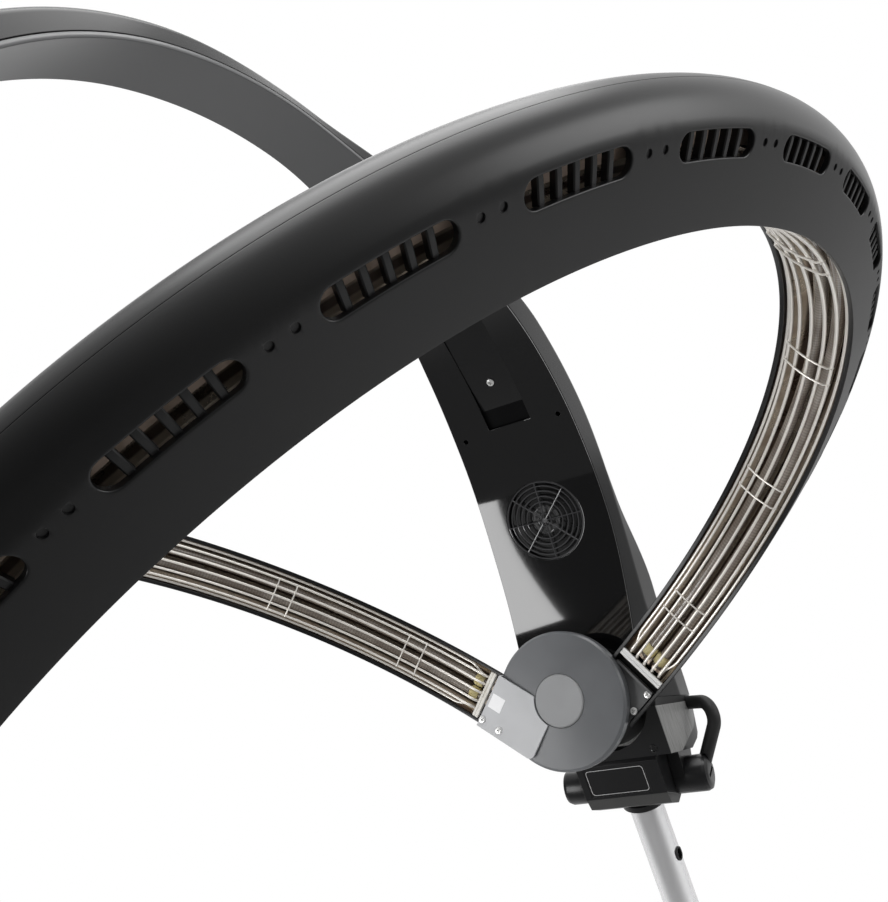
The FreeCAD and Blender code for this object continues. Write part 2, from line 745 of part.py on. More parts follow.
def handle():
    """A bent rod from the back of the yoke's right side, out and down to the right barrel."""
    reach, rise = S.handle_reach.value, S.handle_rise.value
    root = Vector(S.yoke_half_width.value - 2, 41, 49)
    corner = Vector(reach, 8, rise)
    foot = Vector(S.barrel_end.value - 6, 10, 4)
    bend = S.handle_bend.value
    inward, down = (root - corner).normalize(), (foot - corner).normalize()
    half_turn = inward.getAngle(down) / 2
    trim = bend / math.tan(half_turn)
    first, last = corner + inward * trim, corner + down * trim
    middle = (inward + down).normalize()
    centre = corner + middle * (bend / math.sin(half_turn))
    path = Part.Wire([Part.LineSegment(root, first).toShape(),
                      Part.Arc(first, centre - middle * bend, last).toShape(),
                      Part.LineSegment(last, foot).toShape()])
    section = Part.Wire([Part.Circle(root, root - first, S.handle_radius.value).toShape()])
    rod = shaped("handle_rod", path.makePipeShell([section], True, False), PIVOT)
    barrel = cylinder(S.barrel_radius + S.running_gap, S.barrel_end * 2,
                      PIVOT * ACROSS * shift(z=-S.barrel_end.value), "barrel_clear")
    keep(cut("handle_cut", rod, yoke_plan("yoke_clear", S.running_gap.value), barrel), "tilt_handle")


# ---------------------------------------------------------------- arm
def arm_station(number):
    """A station as numbers: angle, inner radius, half width, radius of the back's edge, rise and the half
    width at the edge."""
    angle, clearance, half, depth, rise, back_half = (
        getattr(S, f"station_{number}_{name}").value for name in STATION_NAMES)
    inner = S.rim_radius.value + clearance
    return angle, inner, half, inner + depth, rise, back_half


ARM_STATIONS = [arm_station(number) for number in range(1, len(STATIONS) + 1)]


def arm_section(angle, corners):
    a = math.radians(angle)
    out = Vector(0, math.cos(a), math.sin(a))
    points = [X_AXIS * x + out * radius for x, radius in corners]
    return Part.makePolygon(points + points[:1])


def slopes(column_number):
    """Slopes at the stations of a curve that never swings past their values."""
    rises = [(high[column_number] - low[column_number]) / (high[0] - low[0])
             for low, high in zip(ARM_STATIONS, ARM_STATIONS[1:])]
    middle = [2 * before * after / (before + after) if before * after > 0 else 0.0
              for before, after in zip(rises, rises[1:])]
    return [rises[0]] + middle + [rises[-1]]


def stations_between(steps=3):
    """The stations with others between them, on smooth curves."""
    bends = [slopes(column_number) for column_number in range(1, len(STATION_NAMES))]
    rows = []
    for index, (low, high) in enumerate(zip(ARM_STATIONS, ARM_STATIONS[1:])):
        span = high[0] - low[0]
        for step in range(steps):
            t = step / steps
            row = [low[0] + span * t]
            for bend, start, end in zip(bends, low[1:], high[1:]):
                row.append((1 + 2 * t) * (1 - t) ** 2 * start + t * t * (3 - 2 * t) * end
                           + t * (1 - t) ** 2 * span * bend[index] - t * t * (1 - t) * span * bend[index + 1])
            rows.append(tuple(row))
    return rows + [ARM_STATIONS[-1]]


def arm_loft(corner_rule, first=None, last=None):
    """A solid along the arm; corner_rule gives a station's (x, radius) corners. First and last angles
    may be moved in from the ends."""
    rows = stations_between()
    angles = [row[0] for row in rows]
    if first is not None:
        angles[0] = first
        angles[-1] = last
    sections = [arm_section(angle, corner_rule(*row[1:])) for angle, row in zip(angles, rows)]
    return Part.makeLoft(sections, True, True)


def both_sides(right):
    """Corners on the right, from the inner face to the back, with their mirror images."""
    return right + [(-x, radius) for x, radius in reversed(right)]


def arm_outside(inner, half, edge, rise, back_half):
    """The back shell's outside: its sides flare to the edge, and a chamfer leads to the back."""
    joint = inner + S.panel_thickness.value + S.part_gap.value * 1.6
    return both_sides([(half - 0.2, joint), (back_half, edge), (back_half - S.arm_chamfer.value, edge + rise)])


def arm():
    wall, skin, chamfer = S.arm_wall.value, S.panel_thickness.value, S.arm_chamfer.value

    def hollow(inner, half, edge, rise, back_half):
        return both_sides([(half - wall - 0.7, inner + skin - 1), (back_half - wall, edge - wall * 0.4),
                           (back_half - chamfer - wall, edge + rise - wall)])

    def face(inner, half, edge, rise, back_half):
        return both_sides([(half, inner), (half - 0.2, inner + skin)])

    start = ARM_STATIONS[0][0] + math.degrees(wall / ARM_STATIONS[0][1])
    end = ARM_STATIONS[-1][0] - math.degrees(wall * 2 / ARM_STATIONS[-1][1])
    back = shaped("arm_back", arm_loft(arm_outside).cut(arm_loft(hollow, start, end)), HEAD)
    seat = cylinder(S.housing_radius + S.running_gap, S.housing_length + 0.6,
                    HUB * shift(z=housing_front.value - 0.3), "arm_housing_seat")
    keep(cut("arm_back_cut", back, seat), "arm_back_shell")

    panel = shaped("arm_face", arm_loft(face), HEAD)
    hub_hole = cylinder(S.housing_radius + S.part_gap, S.housing_length,
                        HUB * shift(z=housing_front.value - 20), "panel_hub_hole")
    fan_place = surface_frame(S.fan_angle.value, 0, 1)
    fan_hole = cylinder(S.fan_radius + S.part_gap, as_size(20), fan_place * shift(z=-10), "fan_hole")
    middle = (S.cover_start_angle.value + S.cover_end_angle.value) / 2
    length = between(middle, 1) * math.radians(S.cover_end_angle.value - S.cover_start_angle.value)
    cover_place = surface_frame(middle, 0, 1)
    opening = block(S.cover_half_width * 2, as_size(length), as_size(40), cover_place * shift(z=-20), "opening")
    screw_place = surface_frame(S.panel_screw_angle.value, 0, 1)
    screws = [cylinder(S.panel_screw_radius, as_size(12), screw_place * shift(
        x=side * S.panel_screw_side.value, z=-4), "panel_screw_hole") for side in (1, -1)]
    keep(cut("panel_cut", panel, hub_hole, fan_hole, opening, *screws), "arm_inner_panel")

    lid = plate("lid", rectangle(-S.cover_half_width + 0.5, S.cover_half_width - 0.5, as_size(-length / 2 + 0.5),
                                 as_size(length / 2 - 0.5)), S.arm_wall, cover_place * shift(z=skin - 1.2),
                store=False)
    screw_hole = cylinder(as_size(1.6), as_size(12), cover_place * shift(y=length * 0.18, z=-4), "lid_screw_hole")
    keep(cut("lid_cut", lid, screw_hole), "arm_cover_plate")
    root_slope = math.tan(math.radians(ARM_STATIONS[0][0]))
    front, rear = yoke_front + 4, yoke_rear - 2
    side_view = HEAD * columns(Vector(), Y_AXIS, Z_AXIS, X_AXIS)
    strap = plate("band", [(front, -S.yoke_top), (rear, -S.yoke_top), (rear, rear * root_slope - S.part_gap),
                           (front, front * root_slope - S.part_gap)], S.yoke_half_width * 3, side_view,
                  both_ways=True, store=False)
    band_seat = cylinder(S.housing_radius + S.part_gap, S.housing_length + 2,
                         HUB * shift(z=housing_front.value), "band_seat")
    band_inner = block(S.yoke_half_width * 2 - 8, rear - front - 8, as_size(30), HEAD * shift(
        y=(rear.value + front.value) / 2 + 1, z=-30), "band_inner")
    keep(cut("band_cut", common("band_outline", strap, yoke_plan("band_plan", -0.5)), band_seat, band_inner),
         "arm_root_band")


def between(angle, column_number):
    """A station value at any angle, on straight lines between the stations."""
    for low, high in zip(ARM_STATIONS, ARM_STATIONS[1:]):
        if angle <= high[0]:
            part = (angle - low[0]) / (high[0] - low[0])
            return low[column_number] + part * (high[column_number] - low[column_number])
    return ARM_STATIONS[-1][column_number]


def surface_frame(angle, lift, *column_numbers):
    """Frame on the arm's inner face or back, tilted with it: X across, Y along the arm and Z outward."""
    def radius(at):
        return sum(between(at, number) for number in column_numbers)

    spread = 12.0
    slope = (radius(angle + spread) - radius(angle - spread)) / math.radians(spread * 2) / radius(angle)
    return radial_frame(angle, radius(angle)) * turn(X_AXIS, -math.degrees(math.atan(slope))) * shift(z=lift)


def fan():
    at = surface_frame(S.fan_angle.value, 0.3, 1)
    radius, bar, thick = S.fan_radius, S.grille_bar, S.grille_thickness
    ring_step = (radius - bar) / S.grille_rings
    rings = [turned("grille_ring", rectangle(ring_step * k, ring_step * k + bar, ZERO, thick), at, store=False)
             for k in range(1, int(S.grille_rings.value) + 1)]
    hub = turned("grille_hub", rectangle(ZERO, ring_step * 0.55, ZERO, thick), at, store=False)
    spokes = [block(bar, radius - bar / 2, thick, at * turn(Z_AXIS, 360 / S.grille_spokes.value * k) *
                    shift(y=(radius - bar / 2).value / 2), "spoke") for k in range(int(S.grille_spokes.value))]
    keep(fuse("grille_solids", hub, *rings, *spokes), "fan_grille")
    behind = at * shift(z=S.panel_thickness.value + S.part_gap.value)
    frame = block(radius * 2 + 4, radius * 2 + 4, S.fan_depth, behind, "fan_box")
    throat = cylinder(radius - 0.5, S.fan_depth - 1.5, behind * shift(z=-1), "fan_throat")
    slots = [block(as_size(9), radius - 16, as_size(6), behind * turn(Z_AXIS, 90 * k + 45) *
                   shift(y=radius.value / 2 + 4, z=S.fan_depth.value - 3), "rear_slot") for k in range(4)]
    spindle = cylinder(as_size(2), S.fan_depth - 6, behind * shift(z=5), "spindle")
    keep(fuse("fan_frame_solids", cut("fan_frame_cut", frame, throat, *slots), spindle), "fan_frame")
    blade_hub = S.fan_radius * 0.36
    body = new_body("fan_impeller")
    revolve(body, outline(body, "XZ_Plane", [
        (S.running_gap + 2, as_size(2.6)), (S.running_gap + 2, as_size(1.6)), (blade_hub, as_size(1.6)),
        (blade_hub, S.fan_depth - 4), (blade_hub - 2, S.fan_depth - 4), (blade_hub - 2, as_size(2.6))]))
    body.Placement = behind
    blades = []
    for k in range(int(S.blade_count.value)):
        place = behind * turn(Z_AXIS, 360 / S.blade_count.value * k) * shift(z=S.fan_depth.value / 2 - 1.6) * \
            turn(Y_AXIS, 38)
        blades.append(block(as_size(15), radius - 2 - blade_hub, as_size(1.4),
                            place * shift(y=(radius - 1 + blade_hub).value / 2 - 0.8), "blade"))
    keep(fuse("impeller_solids", body, *blades), "fan_impeller")


def arm_clearance(inner, half, edge, rise, back_half):
    """The arm's outside with a little room over its back."""
    gap = S.part_gap.value
    return both_sides([(half, inner), (back_half + gap, edge), (back_half - S.arm_chamfer.value, edge + rise + gap)])


def control_panel():
    """The panel on the arm's back, where the operator stands, with a window and sprung buttons."""
    at = surface_frame(S.control_angle.value, 0.5, 3, 4)
    width, height, depth = S.control_width, S.control_height, S.control_depth
    skirt = S.control_skirt
    foot = at * shift(z=-skirt.value)
    case = block(width, height, depth + skirt, foot, "case")
    hollow = block(width - 5, height - 5, depth + skirt - 2.5, foot * shift(z=-0.01), "case_hollow")
    arm_room = shaped("arm_room", arm_loft(arm_clearance), HEAD)
    window_at = at * shift(y=S.window_height.value / 2 + 12 - height.value / 2)
    window_hole = block(S.window_width, S.window_height, as_size(20), window_at, "window_hole")
    radius = S.button_radius
    places = []
    for k in range(3):
        places.append(at * shift(x=(k - 1) * S.button_pitch.value, y=14))
    holes = [cylinder(radius + 0.2, as_size(20), p, "button_hole") for p in places]
    keep(cut("case_cut", case, hollow, window_hole, arm_room, *holes), "control_panel")
    lens = plate("display_window", rectangle(-S.window_width / 2 + 0.1, S.window_width / 2 - 0.1,
                                             -S.window_height / 2 + 0.1, S.window_height / 2 - 0.1),
                 as_size(1.6), window_at * shift(z=depth.value - 1.8))
    top = depth + S.button_proud
    for k, place in enumerate(places):
        foot = depth - 6.5
        turned(f"button_{k + 1}", [(ZERO, foot), (radius + 1.2, foot), (radius + 1.2, foot + 1.2),
                                   (radius, foot + 1.2), (radius, top - 0.8), (radius - 0.8, top), (ZERO, top)],
               place)


# ---------------------------------------------------------------- hub and loop drive
def gear(label, teeth, thickness, bore, place):
    """A spur gear with straight-flanked teeth on its pitch circle."""
    count = int(teeth.value)
    pitch = S.gear_module * teeth / 2
    tip, root = pitch + S.gear_module * 0.95, pitch - S.gear_module * 1.2
    body = new_body(label)
    revolve(body, outline(body, "XZ_Plane", rectangle(bore, root + 0.1, ZERO, thickness)))
    half_pitch = math.pi * S.gear_module.value / 2
    wide, narrow = as_size(half_pitch * 0.62), as_size(half_pitch * 0.18)
    tooth = outline(body, "XY_Plane", [(root, -wide), (tip, -narrow), (tip, narrow), (root, wide)], name="Tooth")
    one = pad(body, tooth, thickness, name="ToothPad")
    pattern = body.newObject("PartDesign::PolarPattern", "Teeth")
    pattern.Originals = [one]
    pattern.Axis = (base_plane(body, "Z_Axis"), [""])
    pattern.Angle = 360
    pattern.Occurrences = count
    body.Tip = pattern
    body.Placement = place
    return body


def hub():
    face, gap = hub_face, S.running_gap
    rim = S.disc_radius
    back = face + S.disc_thickness
    recess = S.cap_radius + S.part_gap
    turned("hub_disc", [(S.loop_shaft_radius + gap, face + 4), (recess, face + 4), (recess, face - 1),
                        (rim - 2, face + 0.6), (rim, face + 2.6), (rim, back), (rim - 3, back),
                        (rim - 3, face + 5), (recess + 6, face + 5), (recess + 6, back),
                        (S.loop_shaft_radius + gap, back)], HUB)
    turned("hub_cap", [(ZERO, face - S.cap_proud), (S.cap_radius - 1, face - S.cap_proud),
                       (S.cap_radius, face - S.cap_proud + 1), (S.cap_radius, face + 4), (ZERO, face + 4)], HUB)
    shaft_end = housing_front + S.housing_length - S.housing_wall - 0.5
    gear_at = housing_front + 14
    turned("loop_shaft", [(S.loop_shaft_radius - 5, face + 4 + gap), (S.loop_shaft_radius, face + 4 + gap),
                          (S.loop_shaft_radius, shaft_end), (S.loop_shaft_radius - 5, shaft_end)], HUB)
    # the housing is a cup with a bearing in its front wall
    front, wall = housing_front, S.housing_wall
    end = front + S.housing_length
    outer = S.housing_radius
    bush = S.loop_shaft_radius + 4
    cup = turned("housing_cup", [(bush, front), (outer - 2, front), (outer, front + 2), (outer, end),
                                 (ZERO, end), (ZERO, end - wall), (outer - wall, end - wall),
                                 (outer - wall, front + 8), (bush, front + 8)], HUB, store=False)
    spacing = S.gear_module * (S.ring_teeth + S.pinion_teeth) / 2
    pinion_axis = HUB * shift(y=-spacing.value)
    motor_hole = cylinder(as_size(3.2), as_size(20), pinion_axis * shift(z=end.value - 10), "motor_shaft_hole")
    keep(cut("housing_cut", cup, motor_hole), "hub_housing")
    turned("hub_bearing", [(S.loop_shaft_radius + gap, front - 2), (bush + 4, front - 2), (bush + 4, front - gap),
                           (bush - gap, front - gap), (bush - gap, front + 8),
                           (S.loop_shaft_radius + gap, front + 8)], HUB)
    ring = gear("ring_gear_body", S.ring_teeth, S.gear_width, S.loop_shaft_radius + gap,
                HUB * shift(z=gear_at.value))
    keep(ring, "ring_gear")
    half_tooth = 180 / S.pinion_teeth.value
    pin = gear("pinion_teeth", S.pinion_teeth, S.gear_width, as_size(2.5),
               pinion_axis * shift(z=gear_at.value) * turn(Z_AXIS, 90 + half_tooth))
    stub = cylinder(as_size(3), S.housing_length - 14 + 8, pinion_axis * shift(z=gear_at.value - 1), "pinion_shaft")
    keep(fuse("pinion_solids", pin, stub), "drive_pinion")
    turned("gearmotor", [(as_size(3.2), end + gap), (S.motor_radius, end + gap),
                                 (S.motor_radius, end + S.motor_length), (ZERO, end + S.motor_length),
                                 (ZERO, end + 12), (as_size(3.2), end + 12)], pinion_axis)


# ---------------------------------------------------------------- folded loop
top_radius = S.rim_radius + S.wall_height
top_half = S.rim_half_width - S.wall_height * tangent(S.wall_draft)
crown = top_half / cosine(S.wall_draft)
back_radius = top_radius + crown * (1 - sine(S.wall_draft))


def shell_half(sign):
    """Half of the loop's C-section, from the parting line on its back round to its inner lip."""
    wall, draft = S.shell_wall, S.wall_draft
    inner_top = (top_radius - wall * sine(draft), top_half - wall * cosine(draft))
    lip_radius = S.rim_radius + S.lip_thickness
    lip_root = inner_top[1] + (inner_top[0] - lip_radius) * tangent(draft)
    corners = [(S.rim_radius, S.rim_half_width), (top_radius, top_half), (back_radius, ZERO, crown),
               (back_radius - wall, ZERO), (inner_top[0], inner_top[1], crown - wall), (lip_radius, lip_root),
               (lip_radius, S.rim_half_width - S.lip_width), (S.rim_radius, S.rim_half_width - S.lip_width)]
    bends = {2: 1, 4: -1}
    out = []
    for i, corner in enumerate(corners):
        spot = (corner[0], corner[1] if sign > 0 else -corner[1])
        if i in bends:
            spot += (corner[2] * (-bends[i] * sign),)
        out.append(spot)
    return out


def hub_and_middle_tools(side, clear):
    """What trims an arc: the hub's cylinder at the back and the machine's mid-plane at the front."""
    round_hub = cylinder(S.disc_radius + clear, as_size(80), HUB * shift(z=hub_face.value - 20), "hub_trim")
    other_side = block(as_size(200), as_size(900), as_size(500), HEAD * shift(x=side * (-100 + 0.15), z=-250),
                       "middle_trim")
    return round_hub, other_side


def loop_shells():
    start, span = as_size(-3), as_size(198)
    for side, name in ((1, "right"), (-1, "left")):
        frame = arc_frame(side)
        for sign, half in ((side, "lower"), (-side, "upper")):
            body = new_body(f"{name}_{half}_arc")
            body.Placement = frame * turn(Z_AXIS, start.value)
            revolve(body, outline(body, "XZ_Plane", shell_half(sign)), span)
            opening = vent_slot(body, sign, S.slot_first.value - start.value)
            cutter = body.newObject("PartDesign::Pocket", "Slot")
            cutter.Profile = opening
            cutter.Length = S.rim_half_width.value
            bind(cutter, "Length", S.rim_half_width)
            cutter.Reversed = sign > 0
            pattern = body.newObject("PartDesign::PolarPattern", "Slots")
            pattern.Originals = [cutter]
            pattern.Axis = (base_plane(body, "Z_Axis"), [""])
            pattern.Angle = S.slot_pitch.value * (S.slot_count.value - 1)
            bind(pattern, "Angle", S.slot_pitch * (S.slot_count - 1))
            pattern.Occurrences = int(S.slot_count.value)
            body.Tip = pattern
            label = f"{name}_loop_{half}_shell"
            keep(cut(label + "_cut", body, *hub_and_middle_tools(side, S.part_gap)), label)


def vent_slot(body, sign, angle):
    """A slot with round ends, long along the arc, drawn at its angle just inside the wall."""
    half, straight = S.slot_height / 2, (S.slot_length - S.slot_height) / 2
    middle = S.rim_radius + S.slot_over_rim
    corners = [(middle - half, -straight), (middle, -straight - half, half), (middle + half, -straight, half),
               (middle + half, straight), (middle, straight + half, half), (middle - half, straight, half)]
    lift = (S.shell_wall * 2) * sign
    return outline(body, "XY_Plane", corners, lift, spin=angle, name="SlotOutline")


def octagon(middle, radius):
    """An eight-sided bar section, centred on (middle, 0)."""
    flat = radius * math.tan(math.radians(22.5))
    return [(middle - radius, -flat), (middle - flat, -radius), (middle + flat, -radius), (middle + radius, -flat),
            (middle + radius, flat), (middle + flat, radius), (middle - flat, radius), (middle - radius, flat)]


def loop_inside():
    start, span = S.channel_start, S.channel_end - S.channel_start
    mouth = S.rim_radius + S.lip_thickness + S.part_gap
    draft = tangent(S.wall_draft)
    wall_at_mouth = S.rim_half_width - S.lip_thickness * draft - S.shell_wall / cosine(S.wall_draft)
    flange = wall_at_mouth - S.part_gap
    edge = S.rim_half_width - S.lip_width - 1
    thick, floor_half = S.trough_wall, S.trough_floor_half
    floor = mouth + S.trough_depth
    rod_radius = mouth + S.rod_depth
    rods, bores, ends = [], [], []
    for side, name in ((1, "right"), (-1, "left")):
        frame = arc_frame(side)
        turned(f"{name}_reflector", [
            (mouth, -flange), (mouth, -edge), (floor - thick, -floor_half), (floor - thick, floor_half),
            (mouth, edge), (mouth, flange), (mouth + thick, flange), (mouth + thick, edge + thick),
            (floor, floor_half + thick), (floor, -floor_half - thick), (mouth + thick, -edge - thick),
            (mouth + thick, -flange)], frame * turn(Z_AXIS, start.value), span)
        for h in (-1, 1):
            axis = frame * turn(Z_AXIS, start.value + 1) * shift(z=S.rod_spacing.value / 2 * h)
            rods.append(turned("rod", octagon(rod_radius, S.rod_radius), axis, span - 2, store=False))
            bores.append(turned("rod_bore", octagon(rod_radius, S.rod_radius + S.running_gap), axis, span - 2,
                                store=False))
        for at in (start + 1.2, S.channel_end - 1.2 - S.ceramic_angle):
            ends.append(turned("ceramic", rectangle(rod_radius - S.rod_radius - 2.5, floor - thick - 0.05,
                                                    -floor_half + 0.6, floor_half - 0.6),
                               frame * turn(Z_AXIS, at.value), S.ceramic_angle, store=False))
    keep(fuse("rods", *rods), "heater_rods")
    keep(cut("ceramic_cut", fuse("ceramics", *ends), *bores), "ceramic_ends")


def guards():
    """Chrome wire guards: long wires round the arc, held by arched cross wires in pairs."""
    wire, rise = S.wire, S.guard_arch
    seat_half = S.rim_half_width - S.lip_width / 2
    seat = S.rim_radius - 0.25
    arch = (seat_half * seat_half + rise * rise) / (rise * 2)
    for side, name in ((1, "right"), (-1, "left")):
        frame = arc_frame(side)
        parts = []
        arch_middle = seat - rise + arch
        for h in (-S.guard_outer_wire, -S.guard_inner_wire, ZERO, S.guard_inner_wire, S.guard_outer_wire):
            low = Size(arch_middle.value - math.sqrt(arch.value ** 2 - h.value ** 2),
                       f"({arch_middle.text} - sqrt({arch.text}^2 - {h.text}^2))")
            parts.append(turned("long_wire", rectangle(low + wire * 0.4, low + wire * 1.4, h - wire / 2, h + wire / 2),
                                frame * turn(Z_AXIS, S.channel_start.value + 0.8),
                                S.channel_end - S.channel_start - 1.6, store=False))
        thin = wire / S.rim_radius * 57.3
        for k in range(int(S.cross_count.value)):
            for pair in (0, 1):
                at = S.cross_first + S.cross_pitch * k + S.cross_pair * pair
                parts.append(turned("cross_wire", [
                    (seat, seat_half), (seat - wire * 0.7, seat_half), (seat - rise - wire / 2, ZERO, -arch - 8),
                    (seat - wire * 0.7, -seat_half, -arch - 8), (seat, -seat_half),
                    (seat - rise + wire / 2, ZERO, arch + 4)][:5] + [
                    (seat - rise + wire / 2, ZERO, arch)], frame * turn(Z_AXIS, at.value), thin, store=False))
        keep(fuse(f"{name}_guard_solids", *parts), f"{name}_wire_guard")


def end_frame(side):
    """Frame on an arc's end at the hub: X along the arc, Y across its mouth, Z away from the head centre."""
    return arc_frame(side) * columns(Vector(), Y_AXIS, Z_AXIS, X_AXIS)


def carrier():
    """The boss behind the disc, with a stub that fills the end of each arc."""
    wall, draft, gap = S.shell_wall + 0.15, S.wall_draft, S.running_gap
    low = hub_face + S.disc_thickness + S.part_gap * 5 + S.end_plate + 2
    side = (top_half - wall / cosine(draft)) + (top_radius - low) * tangent(draft)
    inner_top = (top_radius - wall * sine(draft), top_half - wall * cosine(draft))
    start = hub_face + S.disc_thickness + 4
    behind_hub = S.stub_reach / S.rim_radius * (180 / math.pi)
    boss = turned("carrier_boss", [(S.loop_shaft_radius + gap, start), (S.carrier_radius, start),
                                   (S.carrier_radius, housing_front - 4.5),
                                   (S.loop_shaft_radius + gap, housing_front - 4.5)], HUB, store=False)
    stubs = []
    for side_sign in (1, -1):
        stubs.append(turned("stub", [(low, -side), (low, side), inner_top, (back_radius - wall, ZERO, crown - wall),
                                     (inner_top[0], -inner_top[1], crown - wall)],
                            arc_frame(side_sign) * turn(Z_AXIS, -behind_hub.value), S.channel_start - 0.6 + behind_hub,
                            store=False))
    bore = cylinder(S.loop_shaft_radius + gap, as_size(80), HUB * shift(z=hub_face.value - 10), "carrier_bore")
    room = cylinder(S.disc_radius + S.part_gap, S.disc_thickness + 13.8, HUB * shift(z=hub_face.value - 10),
                    "disc_room")
    keep(cut("carrier_cut", fuse("carrier_solids", boss, *stubs), bore, room), "loop_carrier")


def end_plates():
    """The plates between the hub and the arcs' mouths: the left one in front of the disc and the right one
    behind its edge."""
    inner, outer, half = S.end_plate_inner, S.end_plate_outer, S.rim_half_width - 0.7
    corner = as_size(5)
    thick = S.end_plate
    front = hub_face - 3.2
    left = end_frame(-1)
    body = plate("left_plate", [
        (-inner + corner, half), (-inner, half - corner, corner), (-inner, -half + corner),
        (-inner + corner, -half, corner), (outer, -half), (outer, half)], thick, left * shift(z=front.value),
        store=False)
    skirt = block(as_size(2), half * 2, S.rim_radius - front - 0.5,
                  left * shift(x=outer.value - 1, z=front.value), "left_skirt")
    rails = [block(as_size(16), as_size(2), S.rim_radius - front - 0.5,
                   left * shift(x=outer.value - 8, y=h * (half.value - 1), z=front.value), "rail") for h in (1, -1)]
    notch = cylinder(S.cap_radius + 0.8, as_size(40), HUB * shift(z=hub_face.value - 20), "left_notch")
    disc_room = cylinder(S.disc_radius + S.part_gap, as_size(20), HUB * shift(z=hub_face.value - 0.8),
                         "left_disc_room")
    holes = [cylinder(as_size(1.5), as_size(20), left * shift(x=t, y=w, z=front.value - 10), "left_hole")
             for t, w in ((13.2, -16.5), (-4.3, -16.8))]
    keep(cut("left_plate_cut", fuse("left_plate_solids", body, skirt, *rails), notch, disc_room, *holes),
         "left_end_plate")

    right = end_frame(1)
    behind = hub_face + S.disc_thickness + S.part_gap * 5
    half = S.rim_half_width - (behind + thick - S.rim_radius) * tangent(S.wall_draft) - S.shell_wall - 0.8
    body = plate("right_plate", rectangle(-inner + 12, outer, -half, half), thick,
                 right * shift(z=behind.value), store=False)
    ramp = block(as_size(2), half * 2, behind - S.rim_radius + thick - 0.5,
                 right * shift(x=outer.value - 1, z=S.rim_radius.value + 0.5), "right_ramp")
    holes = [cylinder(as_size(1.5), as_size(20), right * shift(x=t, y=-w, z=behind.value - 10), "right_hole")
             for t, w in ((11.9, -16.4), (-5.7, -16.6))]
    shaft_room = cylinder(S.loop_shaft_radius + S.part_gap, as_size(60), HUB * shift(z=hub_face.value),
                          "right_shaft_room")
    disc_room = cylinder(S.disc_radius + S.part_gap, S.disc_thickness + 1, HUB * shift(z=hub_face.value - 0.5),
                         "right_disc_room")
    keep(cut("right_plate_cut", fuse("right_plate_solids", body, ramp), shaft_room, disc_room, *holes),
         "right_end_plate")


def end_bars():
    """A flat bar across the mouth at the hub end of each channel, which holds the guard's long wires."""
    seat_half = S.rim_half_width - S.lip_width
    t = S.rim_radius.value * math.sin(math.radians(S.channel_start.value)) - 1.5
    bars = [block(S.end_bar, seat_half * 2 - 0.6, S.lip_thickness + 1.5,
                  end_frame(side) * shift(x=t, z=S.rim_radius.value - 2.4), "bar") for side in (1, -1)]
    keep(fuse("end_bar_solids", *bars), "end_bars")


def nose_cover():
    """The plate that closes both arcs' mouths where they meet at the front."""
    reach = S.rim_radius
    halves = []
    for side, name in ((1, "right"), (-1, "left")):
        frame = arc_frame(side)
        strip = turned(f"{name}_strip", [
            (reach - S.nose_wall, -S.rim_half_width + 1), (reach - S.running_gap, -S.rim_half_width + 1),
            (reach - S.running_gap, S.rim_half_width - 1), (reach - S.nose_wall, S.rim_half_width - 1)],
            frame * turn(Z_AXIS, (S.channel_end + 0.5).value), as_size(12), store=False)
        middle = block(as_size(200), as_size(900), as_size(500), HEAD * shift(x=-side * 100, z=-250), "half_trim")
        halves.append(cut(f"{name}_nose_half", strip, middle))
    keep(fuse("nose_halves", *halves), "nose_cover")


MAKERS = (base_star, base_cover, castors, column, tilt_joint, yoke, handle, arm, fan, control_panel, hub,
          loop_shells, loop_inside, guards, carrier, end_plates, end_bars, nose_cover)
for make in MAKERS:
    make()
    print("made", make.__name__)
doc.recompute()

for thing in doc.Objects:
    wrong = [word for word in thing.State if word in ("Invalid", "Error")]
    if wrong:
        raise ValueError(f"{thing.Label} is {', '.join(wrong)}")
for label, node in NODES.items():
    if node.Shape.isNull() or not node.Shape.isValid() or not node.Shape.Solids:
        raise ValueError(f"{label} has no valid shape")

os.makedirs("parts", exist_ok=True)
for label, node in NODES.items():
    node.Shape.exportStep(os.path.join("parts", label + ".step"))
print(f"wrote {len(NODES)} parts")
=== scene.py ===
# %% [markdown]
# # A hair color processor on a castor stand
# A crescent arm holds a hub, and the hub turns a folded loop of infrared heaters over the client's head.
# The construction comes as a fixed frame of parts. This lesson gives every part its finish, and builds the
# pieces whose look needs finer forms than the frame's: vented shells, wire guards, a fan grille, a gloss panel.
# Everything here is worked out in millimetres in the frame's own axes, and turned to metres in one place.

# %% Load the frame
import bpy
import bmesh
import math
from mathutils import Matrix, Vector


